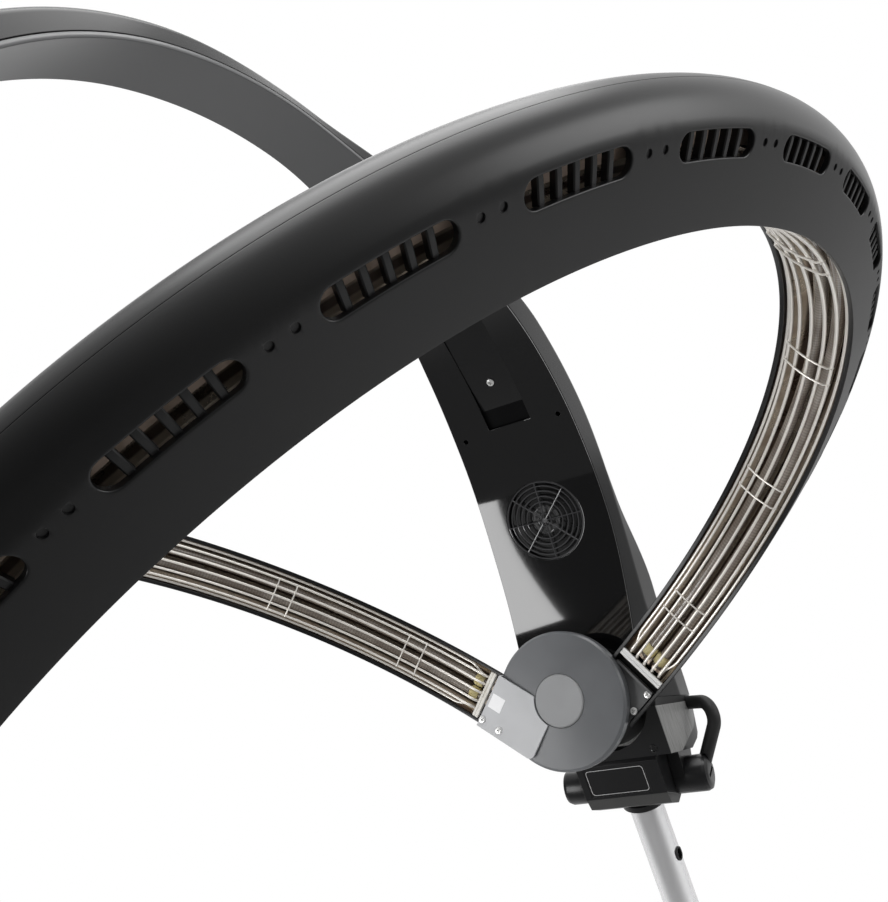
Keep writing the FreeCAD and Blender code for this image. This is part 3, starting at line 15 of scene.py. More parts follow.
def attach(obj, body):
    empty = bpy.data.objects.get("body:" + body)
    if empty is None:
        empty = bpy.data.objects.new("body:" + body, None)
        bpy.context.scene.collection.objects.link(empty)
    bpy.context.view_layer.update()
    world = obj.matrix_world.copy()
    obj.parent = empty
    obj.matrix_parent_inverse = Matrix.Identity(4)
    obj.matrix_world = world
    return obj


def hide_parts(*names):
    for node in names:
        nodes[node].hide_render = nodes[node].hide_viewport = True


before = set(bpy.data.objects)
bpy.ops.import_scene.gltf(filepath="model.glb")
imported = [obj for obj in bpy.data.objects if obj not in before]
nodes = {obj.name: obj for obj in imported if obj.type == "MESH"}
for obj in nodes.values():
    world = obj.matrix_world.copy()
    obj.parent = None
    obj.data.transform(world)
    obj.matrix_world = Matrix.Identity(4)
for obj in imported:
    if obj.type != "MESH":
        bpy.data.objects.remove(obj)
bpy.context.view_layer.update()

# %% [markdown]
# ## Where things are
# The head turns about a centre that hangs in the air where the client's head would be. The hub's axis runs
# back and down from it. Each half of the loop is an arc round that centre, in a plane that leans outward.
# Short functions give a point on an arc, on the arm or on a circle, so that no piece needs a list of
# coordinates: it only says its angle, its radius and how far it is to the side.

# %% Head, hub and arc directions
MM = 0.001
HEAD_CENTRE = Vector((0, -162.4, 1350))
HUB_SLOPE = math.radians(25.6)
RIGHT = Vector((1, 0, 0))
TO_HUB = Vector((0, math.cos(HUB_SLOPE), -math.sin(HUB_SLOPE)))
HEAD_UP = Vector((0, math.sin(HUB_SLOPE), math.cos(HUB_SLOPE)))
PIVOT = Vector((0, 195.6, 1092))
ARC_LEAN = math.radians(52.7)
ARC_OFFSET = 51.1
SIDES = {"right": 1, "left": -1}


def arc_axes(side):
    """The outward direction of an arc's plane and the direction square to it."""
    outward = RIGHT * (side * math.sin(ARC_LEAN)) + HEAD_UP * math.cos(ARC_LEAN)
    return outward, TO_HUB.cross(outward)


def arc_centre(side):
    return HEAD_CENTRE + RIGHT * (side * ARC_OFFSET)


def arc_point(side, angle, radius, across):
    """A point on an arc: angle in degrees from the hub, radius from the arc's centre, across its plane."""
    outward, square = arc_axes(side)
    turn = math.radians(angle)
    along = TO_HUB * math.cos(turn) + outward * math.sin(turn)
    return arc_centre(side) + along * radius + square * across


def arm_point(angle, radius, across):
    """A point on the arm: angle in degrees up from the hub's axis, in the machine's middle plane."""
    turn = math.radians(angle)
    return HEAD_CENTRE + (TO_HUB * math.cos(turn) + HEAD_UP * math.sin(turn)) * radius + RIGHT * across


def polar(radius, degrees, height=0.0):
    """A point on a circle about a place's own Z."""
    turn = math.radians(degrees)
    return Vector((radius * math.cos(turn), radius * math.sin(turn), height))


def basis(origin, x_axis, y_axis, z_axis):
    """A matrix that carries local axes onto three given directions."""
    rows = [[x_axis[k], y_axis[k], z_axis[k], origin[k]] for k in range(3)]
    return Matrix(rows + [[0, 0, 0, 1]])


print("the right arc's top is at", [round(v) for v in arc_point(1, 90, 337, 0)], "mm")

# %% [markdown]
# ## Shader maths as plain Python
# A procedural finish is a chain of small sums. Adding each Math node by hand hides the sum, so one class wraps
# a socket and gives it +, - and *, from either side. A second class holds a material and adds any other node by
# its type, its settings and its sockets. Finishes further down then read like the sentences that describe them.

# %% Socket arithmetic
class Value:
    """The number on a socket. Sums with it add Math nodes to its finish."""

    def __init__(self, finish, socket):
        self.finish = finish
        self.socket = socket

    def combined(self, operation, first, second):
        return self.finish.node("ShaderNodeMath", {"operation": operation}, {0: first, 1: second})

    def __add__(self, other):
        return self.combined("ADD", self, other)

    __radd__ = __add__

    def __sub__(self, other):
        return self.combined("SUBTRACT", self, other)

    def __rsub__(self, other):
        return self.combined("SUBTRACT", other, self)

    def __mul__(self, other):
        return self.combined("MULTIPLY", self, other)

    __rmul__ = __mul__

    def angle_from(self, other):
        """The angle whose sine goes with this number and whose cosine goes with the other."""
        return self.combined("ARCTAN2", self, other)

    def wave(self):
        return self.combined("SINE", self, 0)

    def between(self, low, high):
        """0 below low, 1 above high and smooth between."""
        return self.finish.node("ShaderNodeMapRange", {"interpolation_type": "SMOOTHSTEP"},
                                {"Value": self, "From Min": low, "From Max": high})


class Graph:
    """A node tree that nodes are added to by type, settings and sockets."""

    def __init__(self, tree):
        self.tree = tree

    def node(self, kind, settings=None, sockets=None, output=0):
        made = self.tree.nodes.new(kind)
        for name, setting in (settings or {}).items():
            if name == "stops":
                fill_ramp(made.color_ramp, setting)
            else:
                setattr(made, name, setting)
        for key, content in (sockets or {}).items():
            self.plug(made.inputs[key], content)
        return None if output is None else Value(self, made.outputs[output])

    def plug(self, socket, content):
        if isinstance(content, Value):
            self.tree.links.new(content.socket, socket)
        elif hasattr(socket.default_value, "__len__") and len(socket.default_value) == 4 and len(content) == 3:
            socket.default_value = (*content, 1)
        else:
            socket.default_value = content

    def vector(self, operation, first, second, output=0):
        return self.node("ShaderNodeVectorMath", {"operation": operation}, {0: first, 1: second}, output)

    def part(self, vector, axis):
        """One part of a vector: X, Y or Z."""
        return self.node("ShaderNodeSeparateXYZ", None, {0: vector}, axis)

    def rays(self, kind):
        """1 for light paths of one kind, such as Camera or Glossy, and 0 for the others."""
        return self.node("ShaderNodeLightPath", output=f"Is {kind} Ray")

    def blend(self, factor, first, second):
        """One colour where factor is 0 and the other where it is 1."""
        return self.node("ShaderNodeMix", {"data_type": "RGBA"}, {0: factor, 6: first, 7: second}, output=2)


def fill_ramp(ramp, stops):
    for index, (place, level) in enumerate(stops):
        stop = ramp.elements[index] if index < 2 else ramp.elements.new(place)
        stop.position = place
        stop.color = (level, level, level, 1)


class Finish(Graph):
    """A material round one Principled shader."""

    def __init__(self, name, **constants):
        self.material = bpy.data.materials.new(name)
        self.material.use_nodes = True
        super().__init__(self.material.node_tree)
        self.shader = self.tree.nodes["Principled BSDF"]
        for word, number in constants.items():
            self.feed(word.replace("_", " ").title().replace("Ior", "IOR"), number)

    def feed(self, name, content):
        self.plug(self.shader.inputs[name], content)

    def places(self, stretch=(1, 1, 1)):
        """Positions on the piece in metres, stretched along its axes."""
        return self.vector("MULTIPLY", self.node("ShaderNodeTexCoord", output="Object"), stretch)

    def reaches(self, centre, *axes):
        """How far the piece's places are from a centre, in metres along each axis."""
        away = self.vector("SUBTRACT", self.places(), centre * MM)
        return [self.vector("DOT_PRODUCT", away, axis, "Value") for axis in axes]

    def noise(self, grain, detail=2.0, stretch=(1, 1, 1)):
        """Cloudy noise whose features are about grain millimetres across."""
        return self.node("ShaderNodeTexNoise", None,
                         {"Vector": self.places(stretch), "Scale": 1 / (grain * MM), "Detail": detail})

    def relief(self, height, depth, strength=1.0):
        """Bumps: height from 0 to 1, depth in millimetres."""
        self.feed("Normal", self.node("ShaderNodeBump", None, {
            "Height": height, "Distance": depth * MM, "Strength": strength}))


print("shader maths is ready")

# %% [markdown]
# ## Moulded plastic
# Most of this machine is black plastic in four glosses. Real moulded plastic is never one flat colour: the
# tool's spark-eroded skin gives a fine grain, and handling leaves broad, faint changes of gloss. One function
# makes them all, and each finish only chooses its colour, its gloss and how deep its grain is.

# %% Plastics
def plastic(name, colour, gloss, grain=0.45, depth=0.012, cloud=0.08, specular=0.4, coat=0.0):
    """Moulded plastic: gloss is its roughness, cloud is how far gloss and colour drift."""
    finish = Finish(name, specular_ior_level=specular, coat_roughness=0.04)
    drift = finish.noise(70, 3)
    pores = finish.noise(grain, 2)
    lighter = tuple(channel * (1 + cloud * 3) + 0.001 for channel in colour)
    finish.feed("Base Color", finish.blend(drift.between(0.3, 0.7), colour, lighter))
    finish.feed("Roughness", (drift - 0.5) * cloud + (pores - 0.5) * (cloud * 0.6) + gloss)
    if coat:
        finish.feed("Coat Weight", coat)
    finish.relief(pores, depth)
    return finish.material


FINISHES = {
    "matt black shell": plastic("matt_black_shell", (0.0040, 0.0040, 0.0043), 0.33, depth=0.010, specular=0.45),
    "satin black plastic": plastic("satin_black_plastic", (0.008, 0.008, 0.0085), 0.30, depth=0.012),
    "gloss black plastic": plastic("gloss_black_plastic", (0.0022, 0.0022, 0.0025), 0.05, grain=9, depth=0.004,
                                   cloud=0.02, specular=0.5, coat=0.9),
    "base paint": plastic("base_paint", (0.012, 0.012, 0.013), 0.34, grain=0.8, depth=0.02),
    "castor frame": plastic("castor_frame", (0.016, 0.016, 0.017), 0.42, depth=0.02),
    "button grey": plastic("button_grey", (0.22, 0.225, 0.23), 0.4, depth=0.01),
    "gear nylon": plastic("gear_nylon", (0.55, 0.52, 0.44), 0.45, depth=0.01),
}
print("made", len(FINISHES), "plastics")

# %% [markdown]
# The hub is the one place that isn't black. Its disc is a slate grey, its cap and the right end plate differ a little
# from it, and the left end plate is light grey. Both end plates stand for one metal plate: the left one's light grey
# is a painted reflection of the white room, and the right one's dark grey is painted shade. The tilt joint has its
# own two greys.
# All of these are keyed by the part's own name.

# %% Hub greys
FINISHES["hub_disc"] = plastic("slate_disc", (0.098, 0.102, 0.108), 0.30, depth=0.008, cloud=0.10, specular=0.5)
FINISHES["hub_cap"] = plastic("slate_cap", (0.235, 0.238, 0.243), 0.42, depth=0.014, specular=0.4)
# painted reflection: the left end plate's light grey stands for the white room mirrored in its metal
FINISHES["left_end_plate"] = plastic("end_plate_painted_reflection", (0.42, 0.425, 0.435), 0.40, depth=0.012, specular=0.4)
FINISHES["tilt_bottom_plate"] = plastic("bottom_plate_grey", (0.034, 0.034, 0.033), 0.45, depth=0.012)
# painted shade: the right end plate is the same metal, darkened where it mirrors the room's dark side
FINISHES["right_end_plate"] = plastic("end_plate_painted_shade", (0.085, 0.086, 0.088), 0.36, depth=0.010, specular=0.5)


YOKE_FACE_Y = PIVOT.y - 38
SHOULDER_HEIGHT = 30.0


def cast_yoke():
    """Black paint and brushed grey shoulders: high on the yoke, the paint ends a millimetre behind its face."""
    finish = Finish("cast_yoke", specular_ior_level=0.45)
    depth, height = finish.part(finish.places(), "Y"), finish.part(finish.places(), "Z")
    shoulder = (depth.between((YOKE_FACE_Y + 0.9) * MM, (YOKE_FACE_Y + 1.3) * MM)
                * height.between((PIVOT.z + SHOULDER_HEIGHT) * MM, (PIVOT.z + SHOULDER_HEIGHT + 1.5) * MM))
    brushed = finish.noise(1.0, 3, (1, 1, 0.05))
    patches = finish.noise(9, 3).between(0.45, 0.7)
    grey = finish.blend(brushed.between(0.3, 0.7), (0.150, 0.150, 0.147), (0.27, 0.27, 0.265))
    worn = finish.blend(patches, grey, (0.22, 0.22, 0.215))
    finish.feed("Base Color", finish.blend(shoulder, (0.010, 0.010, 0.0105), worn))
    finish.feed("Roughness", shoulder * 0.12 + brushed * 0.1 + 0.26)
    finish.relief(brushed, 0.006)
    return finish.material


FINISHES["tilt_yoke"] = cast_yoke()
print("the hub has", len(FINISHES), "finishes to choose from")

# %% [markdown]
# ## Rubber, glass and ceramic
# The tyres and the handle's grip are rubber: duller than plastic, with a coarser skin. The heater tubes are
# grey quartz with a wound element inside, which reads as fine rings along the tube. The ceramic ends are
# unglazed, so they are chalky and a little stained by heat.

# %% Rubber, quartz and ceramic
def rubber(name, colour):
    finish = Finish(name, specular_ior_level=0.35)
    skin = finish.noise(1.1, 4)
    dust = finish.noise(38, 3).between(0.5, 0.75)
    grey = tuple(channel + 0.02 for channel in colour)
    finish.feed("Base Color", finish.blend(dust, colour, grey))
    finish.feed("Roughness", dust * 0.12 + skin * 0.1 + 0.5)
    finish.relief(skin, 0.03)
    return finish.material


def ceramic(name, colour, stain):
    finish = Finish(name, specular_ior_level=0.3)
    speckle = finish.noise(0.7, 3)
    heat = finish.noise(7, 3).between(0.42, 0.68)
    finish.feed("Base Color", finish.blend(heat, colour, stain))
    finish.feed("Roughness", speckle * 0.15 + 0.5)
    finish.relief(speckle, 0.03)
    return finish.material


def dark_glass(name):
    finish = Finish(name, specular_ior_level=0.5, coat_weight=0.6, coat_roughness=0.02)
    smear = finish.noise(16, 4).between(0.45, 0.8)
    finish.feed("Base Color", finish.blend(smear, (0.004, 0.005, 0.006), (0.008, 0.009, 0.011)))
    finish.feed("Roughness", smear * 0.08 + 0.04)
    return finish.material


FINISHES["castor tyre"] = rubber("castor_tyre", (0.020, 0.020, 0.021))
FINISHES["handle rubber"] = rubber("handle_rubber", (0.012, 0.012, 0.012))
FINISHES["ceramic"] = ceramic("heater_ceramic", (0.62, 0.55, 0.30), (0.42, 0.36, 0.17))
FINISHES["white bar"] = ceramic("cream_bar", (0.78, 0.76, 0.71), (0.66, 0.63, 0.57))
FINISHES["display window"] = dark_glass("display_window_glass")
print("made rubber, ceramic and glass")

# %% [markdown]
# ## Metals
# Chrome is nearly a mirror, so what shows is the room; only a faint haze and a few polishing lines keep it from
# looking like a gap in the picture. The reflectors behind the heaters are thin rolled sheet that heat has
# browned: the rolling lines run along the arc, and the colour drifts between champagne and umber.

# %% Metals
def metal(name, colour, gloss, haze=0.06, lines=None, tint=None, purity=1.0):
    """Metal: lines stretches its polishing marks, tint is the colour that patches of it drift to, and a purity
    under 1 gives the milky look of a thin or dusty plating."""
    finish = Finish(name, metallic=purity)
    cloudy = finish.noise(45, 4)
    marks = finish.noise(0.6, 3, lines or (1, 1, 1))
    finish.feed("Base Color", finish.blend(cloudy.between(0.35, 0.7), colour, tint or colour))
    finish.feed("Roughness", cloudy * haze + marks * (haze * 0.8) + gloss)
    finish.relief(marks, 0.004)
    return finish.material


FINISHES["column chrome"] = metal("column_chrome", (0.90, 0.90, 0.91), 0.05, 0.03, (1, 1, 0.02), purity=0.72)
FINISHES["chrome wire"] = metal("chrome_wire", (0.90, 0.865, 0.81), 0.24, 0.08, purity=0.5)
FINISHES["screw"] = metal("screw_plating", (0.84, 0.84, 0.83), 0.22, 0.08, purity=0.55)
FINISHES["steel"] = metal("satin_steel", (0.62, 0.62, 0.63), 0.25, 0.1)
FINISHES["bearing brass"] = metal("bearing_brass", (0.66, 0.47, 0.22), 0.25, 0.1)
FINISHES["reflector sheet"] = metal("reflector_sheet", (0.62, 0.54, 0.45), 0.22, 0.16, tint=(0.30, 0.23, 0.18))
print("made the metals:", [m for m in FINISHES if "plastic" not in m][-5:])

# %% [markdown]
# ## One place that turns points into pieces
# A piece here is a list of points and faces worked out in millimetres. The class below collects them, welds
# points that fall together, and makes one smooth-shaded object that rides on a body and takes a finish.
# Edges sharper than a set angle stay crisp, and weighted normals keep flat faces flat beside rounded ones.

# %% Piece builder
CRISP = math.radians(38)


class Form:
    """Points in millimetres and faces, which become one object."""

    def __init__(self):
        self.points = []
        self.faces = []

    def add(self, points):
        first = len(self.points)
        self.points += points
        return range(first, first + len(points))

    def strip(self, near, far, closed=False):
        """Quads between two rows of point numbers."""
        count = len(near) if closed else len(near) - 1
        for k in range(count):
            after = (k + 1) % len(near)
            self.faces.append((near[k], near[after], far[after], far[k]))

    def sheet(self, rows, closed=False, looped=False):
        """A grid from rows of points. closed joins each row's ends and looped joins the last row to the first."""
        numbers = [self.add(list(row)) for row in rows]
        pairs = list(zip(numbers, numbers[1:]))
        if looped:
            pairs.append((numbers[-1], numbers[0]))
        for near, far in pairs:
            self.strip(near, far, closed)
        return numbers

    def cap(self, ring):
        self.faces.append(tuple(ring))

    def bar(self, rings):
        """A closed solid from rings of points, with a face on each end."""
        numbers = self.sheet(rings, closed=True)
        self.cap(numbers[0])
        self.cap(numbers[-1])

    def turned(self, place, outline, steps=48, sweep=360.0, start=0.0):
        """Turns a (radius, height) outline about the place's local Z; a whole turn closes on itself."""
        whole = sweep >= 360
        rows = []
        for k in range(steps if whole else steps + 1):
            rows.append([place @ polar(r, start + sweep * k / steps, z) for r, z in outline])
        return self.sheet(rows, looped=whole)

    def piece(self, name, body, slot, replaces=(), crisp=CRISP, finish=None):
        mesh = bpy.data.meshes.new(name)
        mesh.from_pydata([p * MM for p in self.points], [], self.faces)
        work = bmesh.new()
        work.from_mesh(mesh)
        bmesh.ops.remove_doubles(work, verts=work.verts, dist=0.002 * MM)
        bmesh.ops.dissolve_degenerate(work, edges=work.edges, dist=0.001 * MM)
        bmesh.ops.recalc_face_normals(work, faces=work.faces)
        work.to_mesh(mesh)
        work.free()
        mesh.shade_smooth()
        mesh.set_sharp_from_angle(angle=crisp)
        made = bpy.data.objects.new(name, mesh)
        bpy.context.scene.collection.objects.link(made)
        made.data.materials.append(finish or FINISHES[slot])
        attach(made, body)
        if replaces:
            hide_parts(*replaces)
        print(f"{name}: {len(mesh.polygons)} faces")
        return made


def even_normals(made):
    tidy = made.modifiers.new("even_normals", "WEIGHTED_NORMAL")
    tidy.keep_sharp = True


def spread(first, last, count):
    """count + 1 numbers from first to last."""
    return [first + (last - first) * k / count for k in range(count + 1)]


print("the piece builder is ready")

# %% [markdown]
# ## Bent wire and tube
# Wire is a circle carried along a line. The frame at each point is turned by the least amount from the one
# before, so that the wire doesn't twist, and each end is closed with a low dome, as cut and tumbled wire has.

# %% Wire along a line
def wire(form, line, radius, sides=10, dome=0.6):
    """Adds round wire along a line of points, with domed ends."""
    side = (line[1] - line[0]).orthogonal().normalized()
    rings = []
    for k, point in enumerate(line):
        ahead = (line[min(k + 1, len(line) - 1)] - line[max(k - 1, 0)]).normalized()
        side = (side - ahead * side.dot(ahead)).normalized()
        place = basis(point, side, ahead.cross(side), ahead)
        for back, share in ends_of(k, len(line), dome):
            rings.append([place @ polar(radius * share, 360 * n / sides, radius * back) for n in range(sides)])
    form.bar(rings)


def ends_of(k, count, dome):
    """Ring offsets at a point of a wire: one in the middle, and a small dome at each end."""
    if k == 0:
        return [(-dome, 0.35), (-dome * 0.7, 0.75), (0, 1)]
    if k == count - 1:
        return [(0, 1), (dome * 0.7, 0.75), (dome, 0.35)]
    return [(0, 1)]


def rounded_path(corners, bend, steps=6):
    """A line through corners, each turned with an arc of about the given bend radius."""
    line = [corners[0]]
    for before, corner, after in zip(corners, corners[1:], corners[2:]):
        back, on = before - corner, after - corner
        reach = min(bend, back.length * 0.45, on.length * 0.45)
        start, end = corner + back.normalized() * reach, corner + on.normalized() * reach
        for k in range(steps + 1):
            t = k / steps
            line.append(start * (1 - t) ** 2 + corner * (2 * t * (1 - t)) + end * t ** 2)
    line.append(corners[-1])
    return line


print("wire is ready")

# %% [markdown]
# ## The loop's section
# The heater loop is a C-shaped channel in two shells that meet along its back. From the seam the section runs
# round a crown, down a wall that leans outward, and turns in under a narrow lip at the mouth. The outline is
# kept as a distance along it, because the vents are cut where the wall runs into the crown.

# %% Section of a shell
RIM_RADIUS = 293.0
RIM_HALF = 24.0
WALL_HEIGHT = 29.0
DRAFT = math.radians(14.5)
SHELL_WALL = 2.4
LIP_WIDTH = 3.2
LIP_THICKNESS = 2.2
SEAM_GAP = 0.05
TOP_RADIUS = RIM_RADIUS + WALL_HEIGHT
TOP_HALF = RIM_HALF - WALL_HEIGHT * math.tan(DRAFT)
CROWN = TOP_HALF / math.cos(DRAFT)
CROWN_CENTRE = TOP_RADIUS - CROWN * math.sin(DRAFT)
CROWN_LENGTH = CROWN * (math.pi / 2 - DRAFT)
SECTION_LENGTH = CROWN_LENGTH + WALL_HEIGHT / math.cos(DRAFT)


def section_point(distance, depth=0.0):
    """(radius, across) at a distance from the seam along the outside, and a depth under it."""
    if distance < CROWN_LENGTH:
        lean = distance / CROWN
        return (CROWN_CENTRE + (CROWN - depth) * math.cos(lean), (CROWN - depth) * math.sin(lean))
    down = distance - CROWN_LENGTH
    radius = TOP_RADIUS - down * math.cos(DRAFT) - depth * math.sin(DRAFT)
    return (radius, TOP_HALF + down * math.sin(DRAFT) - depth * math.cos(DRAFT))


def shell_point(side, half, angle, distance, depth=0.0):
    """A point of a shell; half is +1 or -1, the side of the arc's plane that the shell covers."""
    radius, across = section_point(distance, depth)
    return arc_point(side, angle, radius, half * across)


print(f"the section is {SECTION_LENGTH:.1f} mm from the seam to the mouth")

# %% [markdown]
# ## Vented shells
# Each shell is one long mould with thirteen vents and a pair of dimples between every two. A Boolean would cut
# them fast but leaves slivers that catch the light on a satin skin. Here the vents are part of the grid: every
# vent sits in a rectangular cell, rings of quads lead from the cell's edge to the vent, and the last rings turn
# the corner, so the edge is truly rounded. The same cell with a short round outline gives the dimples.

# %% Vents and dimples on the grid
SLOT_LENGTH = 43.0
SLOT_HEIGHT = 9.0
SLOT_RADIUS = 320.0
SLOT_FIRST = 27.1
SLOT_PITCH = 11.8
SLOT_COUNT = 13
SLOT_LINE = CROWN_LENGTH + (TOP_RADIUS - SLOT_RADIUS) / math.cos(DRAFT)
CELL_HALF = 25.5
BAND_HALF = 8.4
DIMPLE_APART = 7.8
DIMPLE_RADIUS = 1.35
DIMPLE_DEPTH = 0.75
DIMPLE_DROP = 0.6
NO_STRAIGHT = 0.001
SMALL_HOLE = 3.0
EDGE_ROUND = ((0.75, 0.0), (0.35, 0.06), (0.12, 0.22), (0.0, 0.55))
SMALL_ROUND = ((0.3, 0.0), (0.12, 0.05), (0.0, 0.3))
CELL_SHARES = (0.0, 0.28, 0.55, 0.8)
FLOOR_SHARES = (1.0, 0.8, 0.35)
MM_PER_DEGREE = math.radians(1) * SLOT_RADIUS


def rectangle_loop(low_x, high_x, low_y, high_y, columns, rows):
    """Points round a rectangle, one at each grid line that meets it."""
    xs, ys = spread(low_x, high_x, columns), spread(low_y, high_y, rows)
    return ([(x, low_y) for x in xs[:-1]] + [(high_x, y) for y in ys[:-1]]
            + [(x, high_y) for x in reversed(xs[1:])] + [(low_x, y) for y in reversed(ys[1:])])


def onto_slot(point, middle, straight, radius):
    """The nearest point on a round-ended slot, seen from a cell's edge, and its outward direction."""
    x, y = point[0] - middle[0], point[1] - middle[1]
    if abs(x) <= straight:
        out = (0.0, 1.0 if y > 0 else -1.0)
        return (middle[0] + x, middle[1] + out[1] * radius), out
    end = math.copysign(straight, x)
    length = math.hypot(x - end, y)
    out = ((x - end) / length, y / length)
    return (middle[0] + end + out[0] * radius, middle[1] + out[1] * radius), out


def part_way(start, end, share):
    """The flat point at a share of the way from one to another."""
    return [a + (b - a) * share for a, b in zip(start, end)]


def beyond(point, out, distance):
    """The flat point at a distance from another, in its outward direction."""
    return [a + b * distance for a, b in zip(point, out)]


def holed_cell(form, place, bounds, counts, hole, floor=None):
    """A cell of the grid with a slot in it. place turns (x, y, depth) into a point; floor closes the slot."""
    outer = rectangle_loop(*bounds, *counts)
    middle, straight, radius = hole
    edge = [onto_slot(p, middle, straight, radius) for p in outer]
    rounding = EDGE_ROUND if radius > SMALL_HOLE else SMALL_ROUND
    start = [beyond(q, n, rounding[0][0]) for q, n in edge]
    rings = [[place(*part_way(p, q, share), 0) for p, q in zip(outer, start)] for share in CELL_SHARES]
    rings += [[place(*beyond(q, n, back), depth) for q, n in edge] for back, depth in rounding]
    if floor is None:
        rings.append([place(*q, SHELL_WALL) for q, n in edge])
    else:
        for share in FLOOR_SHARES:
            rings.append([place(*part_way(middle, q, share), floor * (1.1 - share * 0.1)) for q, n in edge])
    numbers = form.sheet(rings, closed=True)
    if floor is not None:
        form.cap(numbers[-1])
    return numbers[-1]


print("vents are", SLOT_LENGTH, "mm long and", SLOT_PITCH, "degrees apart")

# %% The vented band of a shell
BAND = (SLOT_LINE - BAND_HALF, SLOT_LINE + BAND_HALF)
CELL_COLUMNS = 20
BAND_ROWS = 8
DIMPLE_COLUMNS = 4


def dimpled_gap(form, place, start):
    """Adds the two dimples after a vent, and gives the grid lines across them."""
    lines = spread(start, start + SLOT_PITCH * MM_PER_DEGREE - CELL_HALF * 2, DIMPLE_COLUMNS * 2)
    centre = lines[DIMPLE_COLUMNS]
    for first, last, spot in ((start, centre, centre - DIMPLE_APART / 2),
                              (centre, lines[-1], centre + DIMPLE_APART / 2)):
        dimple = ((spot, SLOT_LINE - DIMPLE_DROP), NO_STRAIGHT, DIMPLE_RADIUS)
        holed_cell(form, place, (first, last, *BAND), (DIMPLE_COLUMNS, BAND_ROWS), dimple, floor=DIMPLE_DEPTH)
    form.sheet([[place(x, y, SHELL_WALL) for x in lines] for y in spread(*BAND, BAND_ROWS)])
    return lines


def vented_band(form, place):
    """Adds the vents and the dimples between them, and gives the grid lines along the whole band."""
    lines = []
    for k in range(SLOT_COUNT):
        middle = (SLOT_FIRST + SLOT_PITCH * k) * MM_PER_DEGREE
        cell, counts = (middle - CELL_HALF, middle + CELL_HALF, *BAND), (CELL_COLUMNS, BAND_ROWS)
        vent = ((middle, SLOT_LINE), (SLOT_LENGTH - SLOT_HEIGHT) / 2, SLOT_HEIGHT / 2)
        inner = holed_cell(form, place, cell, counts, vent)
        inside = [place(*p, SHELL_WALL) for p in rectangle_loop(*cell, *counts)]
        form.strip(inner, form.add(inside), closed=True)
        lines += spread(*cell[:2], CELL_COLUMNS)
        if k < SLOT_COUNT - 1:
            lines += dimpled_gap(form, place, cell[1])[1:-1]
    return lines


print("each shell has", SLOT_COUNT, "vents and", 2 * (SLOT_COUNT - 1), "dimples")

# %% [markdown]
# ## Where the shells stop
# At the hub the two arcs end against the disc, a cylinder about the hub's axis, and at the front they meet in
# the machine's middle plane. Both limits have a closed form for a given radius and distance across, so the
# grid's first and last columns are simply drawn out to them, and no trimming is needed afterwards.

# %% Ends of an arc
DISC_CLEAR = 56.3
MIDDLE_CLEAR = 0.15
ARC_START = -3.0


def hub_limit(side, radius, across):
    """The angle where an arc meets the hub's disc."""
    lean, w = ARC_LEAN, side * across
    middle = ARC_OFFSET * math.sin(lean)
    inside = middle ** 2 - (w * w + 2 * ARC_OFFSET * math.cos(lean) * w + ARC_OFFSET ** 2 - DISC_CLEAR ** 2)
    if inside <= 0:
        return ARC_START
    return max(ARC_START, math.degrees(math.asin((math.sqrt(inside) - middle) / radius)))


def front_limit(side, radius, across):
    """The angle where an arc meets the machine's middle plane."""
    reach = ARC_OFFSET - MIDDLE_CLEAR + side * math.cos(ARC_LEAN) * across
    return 180 + math.degrees(math.asin(reach / (math.sin(ARC_LEAN) * radius)))


print("at its wall the right arc starts at", round(hub_limit(1, 300, 20), 1), "degrees")

# %% [markdown]
# ## Building a shell
# The outline comes as runs of points: from the seam round the crown to the vents, from the vents down the wall,
# round the lip and back up inside, and from there round the crown's inside to the seam. Each run becomes one
# sheet, and all sheets share the band's grid lines, so that welding them closes the shell.

# %% Outline of a shell
LEAD_COLUMNS = 16
SEAM_END = 0.45
SUMMIT = CROWN_CENTRE + CROWN
LIP_IN = RIM_HALF - LIP_WIDTH


def section_run(first, last, count, depth=0.0):
    """Points of the section between two distances from the seam."""
    return [section_point(distance, depth) for distance in spread(first, last, count)]


SEAM = [(SUMMIT - 0.25, SEAM_GAP), (SUMMIT - 0.06, SEAM_GAP + 0.05)]
MOUTH = [(RIM_RADIUS + 0.22, RIM_HALF - 0.12), (RIM_RADIUS, RIM_HALF - 0.55), (RIM_RADIUS, LIP_IN + 0.4),
         (RIM_RADIUS + 0.3, LIP_IN), (RIM_RADIUS + LIP_THICKNESS, LIP_IN)]
OUTER_CROWN = SEAM + section_run(SEAM_END, BAND[0], 9)
WALL_AND_LIP = (section_run(BAND[1], SECTION_LENGTH - 0.8, 8) + MOUTH
                + [section_point(SECTION_LENGTH - LIP_THICKNESS, SHELL_WALL)]
                + section_run(SECTION_LENGTH - 4, BAND[1], 5, SHELL_WALL))
INNER_CROWN = section_run(BAND[0], SEAM_END, 6, SHELL_WALL) + [(SUMMIT - SHELL_WALL, SEAM_GAP)] + SEAM[:1]
BAND_SIDES = (section_run(*BAND, BAND_ROWS), section_run(*reversed(BAND), BAND_ROWS, SHELL_WALL))
print("the outline has", len(OUTER_CROWN + WALL_AND_LIP + INNER_CROWN), "points outside the band")

